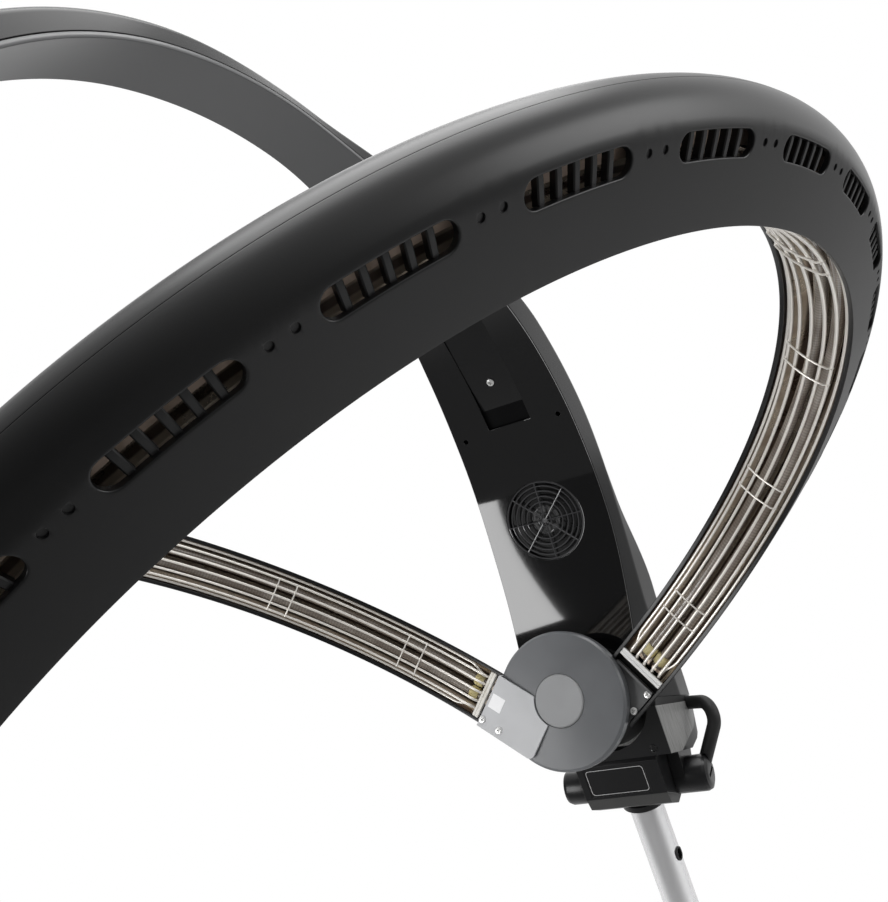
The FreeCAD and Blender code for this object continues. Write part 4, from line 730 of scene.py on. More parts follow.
# %% Build the shells
def shell(side, half):
    """One shell of an arc, from the hub to the front."""
    form = Form()

    def place(x, y, depth):
        """x in millimetres of arc from the angle 0, y along the section, depth under the skin."""
        return shell_point(side, half, x / MM_PER_DEGREE, y, depth)

    middle = [x / MM_PER_DEGREE for x in vented_band(form, place)]

    def from_hub(radius, across):
        return spread(hub_limit(side, radius, half * across), middle[0], LEAD_COLUMNS)

    def to_front(radius, across):
        return spread(middle[-1], front_limit(side, radius, half * across), LEAD_COLUMNS)

    def whole(radius, across):
        return from_hub(radius, across)[:-1] + middle + to_front(radius, across)[1:]

    for angles, runs in ((whole, (OUTER_CROWN, WALL_AND_LIP, INNER_CROWN)), (from_hub, BAND_SIDES),
                         (to_front, BAND_SIDES)):
        for run in runs:
            form.sheet([[arc_point(side, a, radius, half * across) for a in angles(radius, across)]
                        for radius, across in run])
    return form


SHELLS = [(name, layer, side, side * turn)
          for name, side in SIDES.items() for layer, turn in (("lower", 1), ("upper", -1))]
for name, layer, side, half in SHELLS:
    even_normals(shell(side, half).piece(f"{name}_{layer}_shell_skin", "loop", "matt black shell",
                                         [f"{name}_loop_{layer}_shell"]))

# %% [markdown]
# ## Behind the vents
# Five ribs cross each vent a little below the skin, to keep fingers out, and behind them a strip of brown mica
# board keeps the heat from the shell. Both are seen only through the vents, but without them a vent would look
# like a printed black shape.

# %% Vent ribs and mica strips
RIB_COUNT = 5
RIB_PITCH = 7.0
RIB_WIDTH = 2.6
RIB_TOP = 1.5
RIB_DEPTH = 4.2
RIB_HALF = SLOT_HEIGHT / 2 + 0.6
RIB_SECTION = ((-0.5, RIB_DEPTH), (-0.5, RIB_TOP + 0.4), (-0.34, RIB_TOP), (0.34, RIB_TOP), (0.5, RIB_TOP + 0.4),
               (0.5, RIB_DEPTH))
STRIP_BEYOND = 4.5
STRIP_SECTION = ((-5.5, 6.6), (1.6, 7.4), (1.6, 8.2), (-5.5, 7.4))


def vent_ribs(side, half):
    form = Form()
    for k in range(SLOT_COUNT):
        for n in range(RIB_COUNT):
            middle = (SLOT_FIRST + SLOT_PITCH * k) * MM_PER_DEGREE + (n - (RIB_COUNT - 1) / 2) * RIB_PITCH
            form.bar([[shell_point(side, half, (middle + x * RIB_WIDTH) / MM_PER_DEGREE, y, depth)
                       for x, depth in RIB_SECTION] for y in spread(SLOT_LINE - RIB_HALF, SLOT_LINE + RIB_HALF, 4)])
    return form


def mica_strip(side, half):
    """A thin board that runs behind every vent."""
    form = Form()
    first, last = SLOT_FIRST - STRIP_BEYOND, SLOT_FIRST + SLOT_PITCH * (SLOT_COUNT - 1) + STRIP_BEYOND
    form.bar([[shell_point(side, half, angle, SLOT_LINE + y, depth) for y, depth in STRIP_SECTION]
              for angle in spread(first, last, 220)])
    return form


MICA = ceramic("brown_mica_board", (0.46, 0.36, 0.29), (0.30, 0.23, 0.18))
for name, layer, side, half in SHELLS:
    vent_ribs(side, half).piece(f"{name}_{layer}_vent_ribs", "loop", "matt black shell")
    mica_strip(side, half).piece(f"{name}_{layer}_mica_strip", "loop", "ceramic", finish=MICA)

# %% [markdown]
# ## Heaters, reflectors and their ends
# In each channel two quartz tubes lie side by side in a folded trough of browned sheet metal, and the tubes
# plug into ceramic beads at both ends. The frame's tubes are eight-sided, so round ones take their place.

# %% Tubes and troughs
CHANNEL_START = 5.0
CHANNEL_END = 186.0
MOUTH_RADIUS = RIM_RADIUS + LIP_THICKNESS + 0.3
TROUGH_DEPTH = 15.0
TROUGH_FLOOR = 12.5
ROD_RADIUS = 4.0
ROD_DEPTH = 10.0
ROD_SPACING = 12.0
WINDING_PITCH = 2.6
# pitch and phase of the painted light and shade of pleats on the reflector
PAINTED_FOLD_PITCH = 6.9
PAINTED_FOLD_SHIFT = 1.1
SHEET_THICKNESS = 0.7


def across_arc(finish, side):
    """A point's distance from its arc's plane, and its angle from the hub, both read from its place."""
    outward, square = arc_axes(side)
    across, ahead, beside = finish.reaches(arc_centre(side), square, TO_HUB, outward)
    return across, beside.angle_from(ahead)


def quartz(name, side):
    """A grey-brown tube; the wound element inside shows as faint rings along it."""
    finish = Finish(name, specular_ior_level=0.6, coat_weight=0.8, coat_roughness=0.04)
    angle = across_arc(finish, side)[1]
    rings = (angle * (RIM_RADIUS * 2 * math.pi / WINDING_PITCH)).wave().between(-0.8, 0.8)
    cloud = finish.noise(26, 3).between(0.35, 0.7)
    tone = finish.blend(cloud, (0.22, 0.185, 0.155), (0.36, 0.325, 0.285))
    finish.feed("Base Color", finish.blend(rings * 0.32, tone, (0.10, 0.07, 0.055)))
    finish.feed("Roughness", rings * 0.06 + 0.14)
    return finish.material


def browned_sheet_painted_folds(name, side):
    """Folded reflector sheet, browned by heat in clouds; the stripes of tan and dark umber along it are painted light
    and shade of pleats that the sheet doesn't have.
    """
    finish = Finish(name, metallic=0.55)
    across = across_arc(finish, side)[0]
    # painted light and shade: stripes across the trough at a pleat's pitch stand for lit and shaded folds
    painted_fold_shade = (across * (2 * math.pi / (PAINTED_FOLD_PITCH * MM)) + PAINTED_FOLD_SHIFT).wave().between(-0.35, 0.55)
    cloud = finish.noise(20, 4).between(0.35, 0.7)
    light = finish.blend(cloud, (0.66, 0.57, 0.46), (0.46, 0.37, 0.28))
    dark = finish.blend(cloud, (0.085, 0.058, 0.043), (0.17, 0.12, 0.09))
    finish.feed("Base Color", finish.blend(painted_fold_shade, light, dark))
    marks = finish.noise(0.8, 3)
    finish.feed("Roughness", cloud * 0.12 + marks * 0.08 + 0.22)
    finish.relief(marks, 0.006)
    return finish.material


for name, side in SIDES.items():
    tubes = Form()
    for across in (-ROD_SPACING / 2, ROD_SPACING / 2):
        line = [arc_point(side, a, MOUTH_RADIUS + ROD_DEPTH, across)
                for a in spread(CHANNEL_START + 1, CHANNEL_END - 1, 120)]
        wire(tubes, line, ROD_RADIUS, sides=18, dome=0.2)
    tubes.piece(f"{name}_heater_tubes", "loop", "heater quartz", ["heater_rods"] if side > 0 else (),
                finish=quartz(f"{name}_quartz", side))

    trough = Form()
    flange = RIM_HALF - LIP_THICKNESS * math.tan(DRAFT) - SHELL_WALL / math.cos(DRAFT) - 0.3
    lip = LIP_IN - 1
    deep = MOUTH_RADIUS + TROUGH_DEPTH
    fold = [(MOUTH_RADIUS, flange), (MOUTH_RADIUS, lip + 0.8), (MOUTH_RADIUS + 0.9, lip),
            (deep - 1.6, TROUGH_FLOOR + 0.8), (deep, TROUGH_FLOOR - 1), (deep, 1.6), (deep - 3.4, 0.0)]
    section = fold + [(r, -w) for r, w in reversed(fold[:-1])]
    rows = [[arc_point(side, a, r + t, w) for a in spread(CHANNEL_START, CHANNEL_END, 150)]
            for t, line in ((0, section), (SHEET_THICKNESS, reversed(section))) for r, w in line]
    trough.sheet(rows, looped=True)
    trough.piece(f"{name}_trough", "loop", "reflector sheet", [f"{name}_reflector"],
                 finish=browned_sheet_painted_folds(f"{name}_browned_sheet_painted_folds", side))

# %% [markdown]
# ## Bright edges, ceramic beads and end bars
# The trough's folded edges show as a bright strip along each side of the channel, and near the hub each strip
# jogs inward to meet the end bar. The tubes end in small ceramic beads. The bar that holds the guard is cream
# on the left and plated on the right, with a shallow groove along it.

# %% Channel edges
EDGE_ACROSS = 18.7
EDGE_AT_BAR = 14.4
EDGE_JOG = (6.4, 9.4)
EDGE_SECTION = ((-0.9, -0.9), (-1.15, -0.5), (-1.15, 0.5), (-0.9, 0.9), (-0.1, 0.9), (-0.1, -0.9))
for name, side in SIDES.items():
    edges = Form()
    for hand in (1, -1):
        rings = []
        for angle in [5.9] + spread(*EDGE_JOG, 5) + spread(EDGE_JOG[1] + 1, CHANNEL_END - 1, 130):
            share = min(1, max(0, (angle - EDGE_JOG[0]) / (EDGE_JOG[1] - EDGE_JOG[0])))
            middle = EDGE_AT_BAR + (EDGE_ACROSS - EDGE_AT_BAR) * share * share * (3 - 2 * share)
            rings.append([arc_point(side, angle, MOUTH_RADIUS + r, hand * (middle + w)) for r, w in EDGE_SECTION])
        edges.bar(rings)
    edges.piece(f"{name}_channel_edges", "loop", "chrome wire")

# %% Ceramic beads
FINISHES["bead"] = ceramic("ceramic_bead", (0.72, 0.64, 0.36), (0.60, 0.50, 0.22))
BEAD_HALF = 4.5
BEAD_NEAR = [(5.5, BEAD_HALF - 1.3), (4.9, BEAD_HALF - 0.3), (4.05, BEAD_HALF)]
BEAD_OUTLINE = [(r, -z) for r, z in reversed(BEAD_NEAR)] + [(5.6, 0)] + BEAD_NEAR
beads = Form()
for side in SIDES.values():
    for across in (-ROD_SPACING / 2, ROD_SPACING / 2):
        for angle in (7.3, CHANNEL_END - 2.2):
            middle, further = [arc_point(side, a, MOUTH_RADIUS + ROD_DEPTH, across) for a in (angle, angle + 0.5)]
            ahead = (further - middle).normalized()
            apart = ahead.orthogonal().normalized()
            beads.turned(basis(middle, apart, ahead.cross(apart), ahead), BEAD_OUTLINE, steps=24)
beads.piece("ceramic_beads", "loop", "ceramic", ["ceramic_ends"], finish=FINISHES["bead"])

# %% End bars
BAR_OUT = RIM_RADIUS * math.sin(math.radians(CHANNEL_START)) - 0.6
BAR_HALF = 20.5
BAR_THICK = 5.6
BAR_LIFT = 2.4
BAR_NEAR = [(0.35, 0.45), (0.55, 0), (BAR_THICK / 2 - 0.35, 0), (BAR_THICK / 2, 0.35), (BAR_THICK / 2, 3.5)]
BAR_SECTION = [(-x, z) for x, z in reversed(BAR_NEAR)] + BAR_NEAR
SILVER_BAR = metal("plated_bar", (0.70, 0.70, 0.69), 0.28, 0.1, purity=0.5)
for name, side in SIDES.items():
    outward, square = arc_axes(side)
    bar = Form()
    rings = []
    for across, shrink in ((-BAR_HALF, 0.4), (-BAR_HALF + 0.4, 0), (BAR_HALF - 0.4, 0), (BAR_HALF, 0.4)):
        rings.append([arc_centre(side) + outward * (BAR_OUT + x * (1 - shrink * 0.15)) + square * across
                      + TO_HUB * (RIM_RADIUS - BAR_LIFT + z + shrink * (z < 1)) for x, z in BAR_SECTION])
    bar.bar(rings)
    bar.piece(f"{name}_end_bar", "loop", "white bar", ["end_bars"] if side > 0 else (),
              finish=SILVER_BAR if side > 0 else None)

# %% [markdown]
# ## Wire guards
# A guard is five long wires of bright steel, bent to the arc and held by short cross wires in close pairs. At
# the hub each long wire dips into the end bar. The middle wires stand a little prouder than the outer
# ones, so the guard is slightly arched and keeps hair off the tubes.

# %% Guards
WIRE_RADIUS = 1.1
CROSS_RADIUS = 0.65
GUARD_ARCH = 3.6
WIRE_PLACES = (-14.6, -8.0, 0.0, 8.0, 14.6)
WIRE_DIP = ((5.6, 4.5), (5.75, 1.6), (6.3, 0))
CROSS_FIRST = {"right": 15.2, "left": 17.7}
CROSS_HALF = 14.9
CROSS_PAIR = 3.4
CROSS_PITCH = 25.0
CROSS_COUNT = 7


def guard_radius(across):
    """Height of the guard over the mouth: lowest at the edges."""
    return RIM_RADIUS - GUARD_ARCH * (1 - (across / 20.8) ** 2)


for name, side in SIDES.items():
    guard = Form()
    for across in WIRE_PLACES:
        top = guard_radius(across) + WIRE_RADIUS
        run = [*WIRE_DIP, *((a, 0) for a in spread(7, CHANNEL_END - 1.4, 170))]
        wire(guard, [arc_point(side, a, top + sunk, across) for a, sunk in run], WIRE_RADIUS)
    for k in range(CROSS_COUNT):
        for pair in (0, CROSS_PAIR):
            angle = CROSS_FIRST[name] + CROSS_PITCH * k + pair
            line = [arc_point(side, angle, guard_radius(w) - CROSS_RADIUS * 0.6, w)
                    for w in spread(-CROSS_HALF, CROSS_HALF, 14)]
            for hand, end in ((-1, 0), (1, len(line))):
                line.insert(end, arc_point(side, angle, guard_radius(CROSS_HALF) + 1.4, hand * (CROSS_HALF + 0.9)))
            wire(guard, line, CROSS_RADIUS, sides=8)
    guard.piece(f"{name}_guard_wires", "loop", "chrome wire", [f"{name}_wire_guard"])

# %% [markdown]
# ## The arm's skins
# The arm is a long crescent whose gloss face mirrors the room, so a single facet would show. Its section is known
# at eleven stations: the clearance over the loop, the half width, the depth of the side, the rise of the back and
# the half width there. Monotone cubic curves join the stations, so nothing swings past its values, and the skins
# take a section every degree. The face's normals are set from the curve itself, which keeps it a clean mirror.

# %% Sections of the arm
ARM_STATIONS = (
    (-1.2, 43, 51, 88.5, 50, 60),
    (12, 54.5, 56, 35.5, 57, 60),
    (25, 65.5, 59, 26.5, 22, 61),
    (38, 74.5, 57, 35.5, 9, 58.5),
    (50, 81, 52, 36.5, 6, 52.5),
    (62, 85.5, 42, 25.5, 4, 42),
    (74, 88, 29.5, 21.5, 4, 29),
    (90, 88.5, 22.5, 12, 3, 20),
    (110, 85.5, 22.5, 16.5, 3, 18),
    (130, 77.5, 22, 16.5, 2.5, 17.5),
    (150, 66, 14, 9, 2, 9.5),
)
ARM_START, ARM_END = ARM_STATIONS[0][0], ARM_STATIONS[-1][0]
ARM_STEPS = 152


def station_slopes(column):
    """Slopes at the stations that keep a cubic curve within their values."""
    rises = [(high[column] - low[column]) / (high[0] - low[0]) for low, high in zip(ARM_STATIONS, ARM_STATIONS[1:])]
    middle = [2 * a * b / (a + b) if a * b > 0 else 0.0 for a, b in zip(rises, rises[1:])]
    return [rises[0]] + middle + [rises[-1]]


STATION_SLOPES = [station_slopes(column) for column in range(1, 6)]


def arm_row(angle):
    """Inner radius, half width, side depth, rise and half width at the back, at an angle."""
    index = max(k for k in range(len(ARM_STATIONS) - 1) if k == 0 or ARM_STATIONS[k][0] <= angle)
    low, high = ARM_STATIONS[index], ARM_STATIONS[index + 1]
    span = high[0] - low[0]
    t = (angle - low[0]) / span
    row = [(1 + 2 * t) * (1 - t) ** 2 * start + t * t * (3 - 2 * t) * end
           + t * (1 - t) ** 2 * span * bends[index] - t * t * (1 - t) * span * bends[index + 1]
           for bends, start, end in zip(STATION_SLOPES, low[1:], high[1:])]
    return [RIM_RADIUS + row[0]] + row[1:]


def arm_radius(angle):
    return arm_row(angle)[0]


def arm_frame(angle, lift=0.0, span=12.0):
    """Z points out of the arm's inner face away from the head, Y runs up the arm and X to the left."""
    first, last = max(angle - span, ARM_START), min(angle + span, ARM_END)
    rise = (arm_radius(last) - arm_radius(first)) / math.radians(last - first)
    tilt = math.atan(rise / arm_radius(angle))
    turn = math.radians(angle)
    out = TO_HUB * math.cos(turn) + HEAD_UP * math.sin(turn)
    up = HEAD_UP * math.cos(turn) - TO_HUB * math.sin(turn)
    normal = out * math.cos(tilt) - up * math.sin(tilt)
    along = up * math.cos(tilt) + out * math.sin(tilt)
    return basis(arm_point(angle, arm_radius(angle), 0) + normal * lift, -RIGHT, along, normal)


print("the arm is", round(arm_radius(90) - arm_radius(0)), "mm further out at its top than at the hub")

# %% The arm's back skin
PANEL_THICKNESS = 3.0
ARM_CHAMFER = 5.0
ARM_WALL = 3.0
JOINT_GAP = 0.48
LEDGE = 2.0
back = Form()
rings = []
for angle in spread(ARM_START, ARM_END, ARM_STEPS):
    inner, half, depth, rise, back_half = arm_row(angle)
    joint, edge = inner + PANEL_THICKNESS + JOINT_GAP, inner + depth
    corners = [(0, joint + LEDGE), (half - ARM_WALL, joint + LEDGE), (half - ARM_WALL, joint), (half - 0.2, joint),
               (back_half, edge), (back_half - ARM_CHAMFER, edge + rise), (0, edge + rise)]
    points = [arm_point(angle, radius, x) for x, radius in corners]
    right = (points[:3] + rounded_path(points[2:5], 0.5, 3)[1:-1] + rounded_path(points[3:6], 3.5, 5)[1:-1]
             + rounded_path(points[4:7], 4.0, 6)[1:-1] + points[6:])
    rings.append(right + [Vector((-q.x, q.y, q.z)) for q in reversed(right[1:-1])])
back.bar(rings)
BACK_PAINT = plastic("arm_back_paint", (0.0040, 0.0040, 0.0043), 0.22, depth=0.008, specular=0.14)
even_normals(back.piece("arm_back_skin", "head", "satin black plastic", ["arm_back_shell"], finish=BACK_PAINT))

# %% [markdown]
# ## The arm's face
# The face is a ruled sheet, so it needs a dense grid only round its holes. The fan's opening and two screw holes
# use the same cell as the vents. Plain patches fill the rest and leave the cover plate's opening free.

# %% The arm's face
FAN_ANGLE = 26.0
FAN_HOLE = 36.3
FAN_CELL_HALF = 39.0
FAN_CELL = (FAN_ANGLE - 6.2, FAN_ANGLE + 6.2)
FACE_SCALE = 6.31
OPENING_HALF = 21.0
OPENING = (40.5, 61.0)
HOLE_ANGLE, HOLE_SIDE, HOLE_RADIUS = 40.0, 46.0, 2.2
HOLE_CELL_HALF = 5.0
HOLE_CELL = (HOLE_ANGLE - 1.5, HOLE_ANGLE + 1.5)
FACE_EDGE = ((-0.5, 0), (-0.2, 0.06), (-0.05, 0.2), (0, 0.5), (-0.2, PANEL_THICKNESS), (-3.0, PANEL_THICKNESS))
face = Form()


def face_point(x, y, depth):
    """x across, y in millimetres along the face, depth under it."""
    angle = y / FACE_SCALE
    return arm_point(angle, arm_radius(angle) + depth, x)


def face_patch(low_x, high_x, first, last, step=1.0):
    """A grid on the face between two angles; None for a side means the face's own edge."""
    rows = []
    for angle in spread(first, last, max(1, round((last - first) / step))):
        half = arm_row(angle)[1] - 0.5
        left, right = (-half if low_x is None else low_x), (half if high_x is None else high_x)
        rows.append([face_point(x, angle * FACE_SCALE, 0) for x in spread(left, right, 6)])
    face.sheet(rows)


def face_hole(middle, half, angles, counts, radius):
    """A round hole in a cell of the face. middle is its place across, half the cell's half width."""
    low, high = [angle * FACE_SCALE for angle in angles]
    holed_cell(face, face_point, (middle - half, middle + half, low, high), counts,
               ((middle, (low + high) / 2), NO_STRAIGHT, radius))


def on_one_side(hand, near, far):
    """The two limits across of a patch on one side, in rising order; far may be None, the face's own edge."""
    return (near, far) if hand > 0 else (-far if far else None, -near)


face_patch(None, None, ARM_START, FAN_CELL[0])
face_hole(0, FAN_CELL_HALF, FAN_CELL, (20, 20), FAN_HOLE)
face_patch(None, None, FAN_CELL[1], HOLE_CELL[0])
face_patch(-OPENING_HALF, OPENING_HALF, HOLE_CELL[0], OPENING[0])
face_patch(None, None, OPENING[1], ARM_END)
for hand in (1, -1):
    face_patch(*on_one_side(hand, FAN_CELL_HALF, None), *FAN_CELL, 0.62)
    face_patch(*on_one_side(hand, OPENING_HALF, HOLE_SIDE - HOLE_CELL_HALF), *HOLE_CELL)
    face_hole(hand * HOLE_SIDE, HOLE_CELL_HALF, HOLE_CELL, (6, 6), HOLE_RADIUS)
    face_patch(*on_one_side(hand, HOLE_SIDE + HOLE_CELL_HALF, None), *HOLE_CELL)
    face_patch(*on_one_side(hand, OPENING_HALF, None), HOLE_CELL[1], OPENING[1])
    face.sheet([[arm_point(angle, arm_radius(angle) + depth, hand * (arm_row(angle)[1] + x))
                 for x, depth in FACE_EDGE] for angle in spread(ARM_START, ARM_END, ARM_STEPS)])
    face.sheet([[face_point(hand * OPENING_HALF, angle * FACE_SCALE, depth) for depth in (0, PANEL_THICKNESS)]
                for angle in spread(*OPENING, 20)])
for angle in OPENING:
    face.sheet([[face_point(x, angle * FACE_SCALE, depth) for x in spread(-OPENING_HALF, OPENING_HALF, 6)]
                for depth in (0, PANEL_THICKNESS)])

# %% Normals of the face
CURVE_TOLERANCE = 0.03


def on_curve(place):
    """The curve's normal towards the head at a place in metres, or None where the place is off the face."""
    away = place / MM - HEAD_CENTRE
    reach, height = away.dot(TO_HUB), away.dot(HEAD_UP)
    angle = min(max(math.degrees(math.atan2(height, reach)), ARM_START), ARM_END)
    if abs(math.hypot(height, reach) - arm_radius(angle)) > CURVE_TOLERANCE:
        return None
    return -arm_frame(angle, span=1.5).to_3x3().col[2]


def curve_normals(made):
    """Turns every joined patch towards the head, then gives points on the face the normal of its curve."""
    work = bmesh.new()
    work.from_mesh(made.data)
    left = set(work.faces)
    while left:
        patch, waiting = [], [left.pop()]
        while waiting:
            patch.append(waiting.pop())
            found = {near for edge in patch[-1].edges for near in edge.link_faces} & left
            left -= found
            waiting += found
        wanted = [(part, on_curve(part.calc_center_median())) for part in patch]
        if sum(part.normal.dot(normal) * part.calc_area() for part, normal in wanted if normal) < 0:
            bmesh.ops.reverse_faces(work, faces=patch)
    work.to_mesh(made.data)
    work.free()
    made.data.normals_split_custom_set_from_vertices(
        [on_curve(point.co) or Vector((0, 0, 0)) for point in made.data.vertices])


# angles where the face turns from gloss black to a finer satin with a painted light grey
SATIN_AND_PAINTED_GREY_STARTS = (math.radians(66), math.radians(74))


def arm_face_finish():
    """Gloss black near the hub; above the loop the same moulding is a finer satin, and its even grey there is painted
    light on the black face.
    """
    finish = Finish("arm_face", specular_ior_level=0.5, coat_roughness=0.03)
    reach, height = finish.reaches(HEAD_CENTRE, TO_HUB, HEAD_UP)
    satin = height.angle_from(reach).between(*SATIN_AND_PAINTED_GREY_STARTS)
    cloud = finish.noise(60, 3)
    # painted light: the grey base colour above the loop stands for light on the same black moulding
    finish.feed("Base Color", finish.blend(satin, (0.0022, 0.0022, 0.0025), (0.072, 0.073, 0.075)))
    finish.feed("Roughness", satin * 0.30 + cloud * 0.02 + 0.04)
    finish.feed("Coat Weight", (1 - satin) * 0.9)
    finish.relief(cloud, 0.004)
    return finish.material


skin = face.piece("arm_face_skin", "head", "gloss black plastic", ["arm_inner_panel"], finish=arm_face_finish())
curve_normals(skin)

# %% [markdown]
# ## Fan grille on the arm
# A small fan behind the gloss face cools the drive. Its grille is moulded in one piece: thin rings, eight thin
# spokes and a rim, all rounded, so each catches a fine line of light. A ring of short links sits round the
# middle. Round bars on the arm's own surface frame make it, which keeps it seated however the arm curves.

# %% Grille
FAN_RADIUS = 35.6
GRILLE_BAR = 0.72
GRILLE_SPOKES = 8
RING_RADII = (6.0, 17.0, 22.0, 27.0, 31.6)
LINK_RING = 11.6
LINK_HALF = 9.0
GRILLE_LIFT = 0.9


def ring(form, place, radius, thickness, first=0.0, last=360.0, steps=64):
    wire(form, [place @ polar(radius, a) for a in spread(first, last, steps)], thickness, sides=8, dome=0.3)


grille = Form()
fan_place = arm_frame(FAN_ANGLE, GRILLE_LIFT)
for radius in RING_RADII:
    ring(grille, fan_place, radius, GRILLE_BAR)
ring(grille, fan_place, FAN_RADIUS, 1.0)
for k in range(GRILLE_SPOKES):
    spoke, middle = 360 * k / GRILLE_SPOKES, 360 * (k + 0.5) / GRILLE_SPOKES
    wire(grille, [fan_place @ polar(r, spoke) for r in spread(2.2, FAN_RADIUS, 10)], GRILLE_BAR, sides=8)
    ring(grille, fan_place, LINK_RING, GRILLE_BAR, middle - LINK_HALF, middle + LINK_HALF, 5)
grille.turned(fan_place, [(0.01, -0.9), (2.0, -0.9), (2.6, -0.4), (2.6, 0.9), (0.01, 0.9)], steps=24)
# painted light: the grille is moulded gloss black like the face, and its grey colour stands for the light its rounded
# bars catch
GRILLE_PAINTED_LIGHT = plastic("grille_grey_painted_light", (0.040, 0.040, 0.042), 0.20, specular=0.6, coat=0.6)
grille.piece("fan_grille_bars", "head", "gloss black plastic", ["fan_grille"], finish=GRILLE_PAINTED_LIGHT)

# %% [markdown]
# ## Screws
# Five screws show. A head is a low dome with a cross sunk into it. Seen along the screw, the cross is star-shaped
# about its middle: each direction meets its outline once. So one polar grid makes dome, recess and floor.

# %% Screw heads
HEAD_STEPS = 64
HEAD_HEIGHT = 1.1
HEAD_DOME = ((1.0, 0.0), (1.0, -0.55), (0.95, -0.85), (0.84, -1.0))
HEAD_RECESS = ((1.0, -1.0), (0.92, 0.9), (0.4, 1.0))
CROSS_LENGTH = 0.62
CROSS_HALF_WIDTH = 0.16
COVER_SCREW_ANGLE = 47.07


def cross_reach(angle, length, half):
    """Distance from the middle to the outline of a cross with the given arms."""
    c, s = abs(math.cos(angle)) + 1e-9, abs(math.sin(angle)) + 1e-9
    return max(min(length / c, half / s), min(half / c, length / s))


def screw_head(form, place, radius, spin):
    """Adds a head whose top faces the place's own -Z."""
    turns = [360 * k / HEAD_STEPS for k in range(HEAD_STEPS)]
    cross = [cross_reach(math.radians(a), radius * CROSS_LENGTH, radius * CROSS_HALF_WIDTH) for a in turns]
    rows = [([radius * share] * HEAD_STEPS, level) for share, level in HEAD_DOME]
    rows += [([reach * share for reach in cross], level) for share, level in HEAD_RECESS]
    numbers = form.sheet([[place @ polar(reach, a + math.degrees(spin), level * HEAD_HEIGHT)
                           for reach, a in zip(reaches, turns)] for reaches, level in rows], closed=True)
    form.cap(numbers[-1])


def end_place(side, along, across, depth):
    """On an end plate: along the arc from its centre, across its mouth, and depth from the head centre."""
    outward, square = arc_axes(side)
    return basis(arc_centre(side) + outward * along + square * across + TO_HUB * depth, outward, square, TO_HUB)


HUB_FACE = 285.0
PLATE_FRONT = HUB_FACE - 3.2
RIGHT_PLATE_AT = HUB_FACE + 11.6
END_SCREWS = (
    (-1, 13.2, -16.5, PLATE_FRONT, 0.3),
    (-1, -4.3, -16.8, PLATE_FRONT, 1.0),
    (1, 11.9, 16.4, RIGHT_PLATE_AT, 0.5),
    (1, -5.7, 16.6, RIGHT_PLATE_AT, 0.1),
)
loop_screws = Form()
for *where, spin in END_SCREWS:
    screw_head(loop_screws, end_place(*where), 3.0, spin)
loop_screws.piece("end_plate_screws", "loop", "steel", finish=FINISHES["screw"])
arm_screws = Form()
screw_head(arm_screws, arm_frame(COVER_SCREW_ANGLE, 1.9), 3.3, 0.4)
arm_screws.piece("cover_screw", "head", "steel", finish=FINISHES["screw"])
print("set five screws")

# %% Screw socket on the yoke
def front_place(x, z, sunk=0.0):
    """On the front of the tilt joint, facing forward: x and z from the pivot."""
    return basis(Vector((x, YOKE_FACE_Y + sunk, PIVOT.z + z)), RIGHT, Vector((0, 0, 1)), Vector((0, -1, 0)))


socket = Form()
socket.turned(front_place(39.7, 49.1),
              [(0.01, 0.06), (2.5, 0.06), (2.8, 0.5), (3.2, 0.62), (3.6, 0.5), (3.8, 0.0)], steps=40)
socket.piece("yoke_screw_socket", "head", "gloss black plastic")

# %% [markdown]
# ## Bare label places
# Two places carry a label on such a machine: a small square on the light end plate and a plate on the front of
# the tilt block. Both stay bare here. The square is a thin plain tag, and the block's plate is a thin light
# border, rounded at its corners, round an empty field.

# %% Tag and border
def rounded_rectangle(half_x, half_y, corner, steps=6):
    """Points round a rectangle with rounded corners, counter-clockwise."""
    points = []
    for cx, cy, start in ((1, 1, 0), (-1, 1, 90), (-1, -1, 180), (1, -1, 270)):
        for a in spread(start, start + 90, steps):
            points.append((cx * (half_x - corner) + corner * math.cos(math.radians(a)),
                           cy * (half_y - corner) + corner * math.sin(math.radians(a))))
    return points


def slab(form, place, half_x, half_y, corner, low, high, ease=0.15):
    """A flat rounded plate from low to high along the place's Z, with eased edges."""
    rings = []
    for z, inset in ((low, 0.0), (high - math.copysign(ease, high - low), 0.0), (high, ease)):
        rings.append([place @ Vector((x, y, z))
                      for x, y in rounded_rectangle(half_x - inset, half_y - inset, max(corner - inset, 0.05))])
    form.bar(rings)


TAG_WHITE = plastic("tag_white", (0.86, 0.86, 0.87), 0.5, depth=0.004, cloud=0.02, specular=0.3)
TAG_HALF = 6.2
tag = Form()
tag_at = HEAD_CENTRE + RIGHT * -56 + HEAD_UP * 6 + TO_HUB * PLATE_FRONT
slab(tag, basis(tag_at, *arc_axes(-1), TO_HUB), TAG_HALF, TAG_HALF, 0.5, 0.2, -0.25, 0.08)
tag.piece("plain_tag", "loop", "white bar", finish=TAG_WHITE)

BORDER_WHITE = plastic("border_light_grey", (0.42, 0.42, 0.42), 0.45, depth=0.003, cloud=0.03, specular=0.3)
BORDER_SIZE = (28.0, 13.0, 3.6)
BORDER_SECTION = ((0.9, 0.0), (0.9, 0.12), (1.4, 0.12), (1.4, 0.0))
border = Form()
border_at = front_place(-3.5, 22.5, 0.6)
rows = []
for inset, lift in BORDER_SECTION:
    half_x, half_y, corner = BORDER_SIZE
    outline = rounded_rectangle(half_x - inset, half_y - inset, corner - inset * 0.6)
    rows.append([border_at @ Vector((x, y, lift)) for x, y in outline])
border.sheet(rows, closed=True, looped=True)
border.piece("label_border", "column", "white bar", finish=BORDER_WHITE)

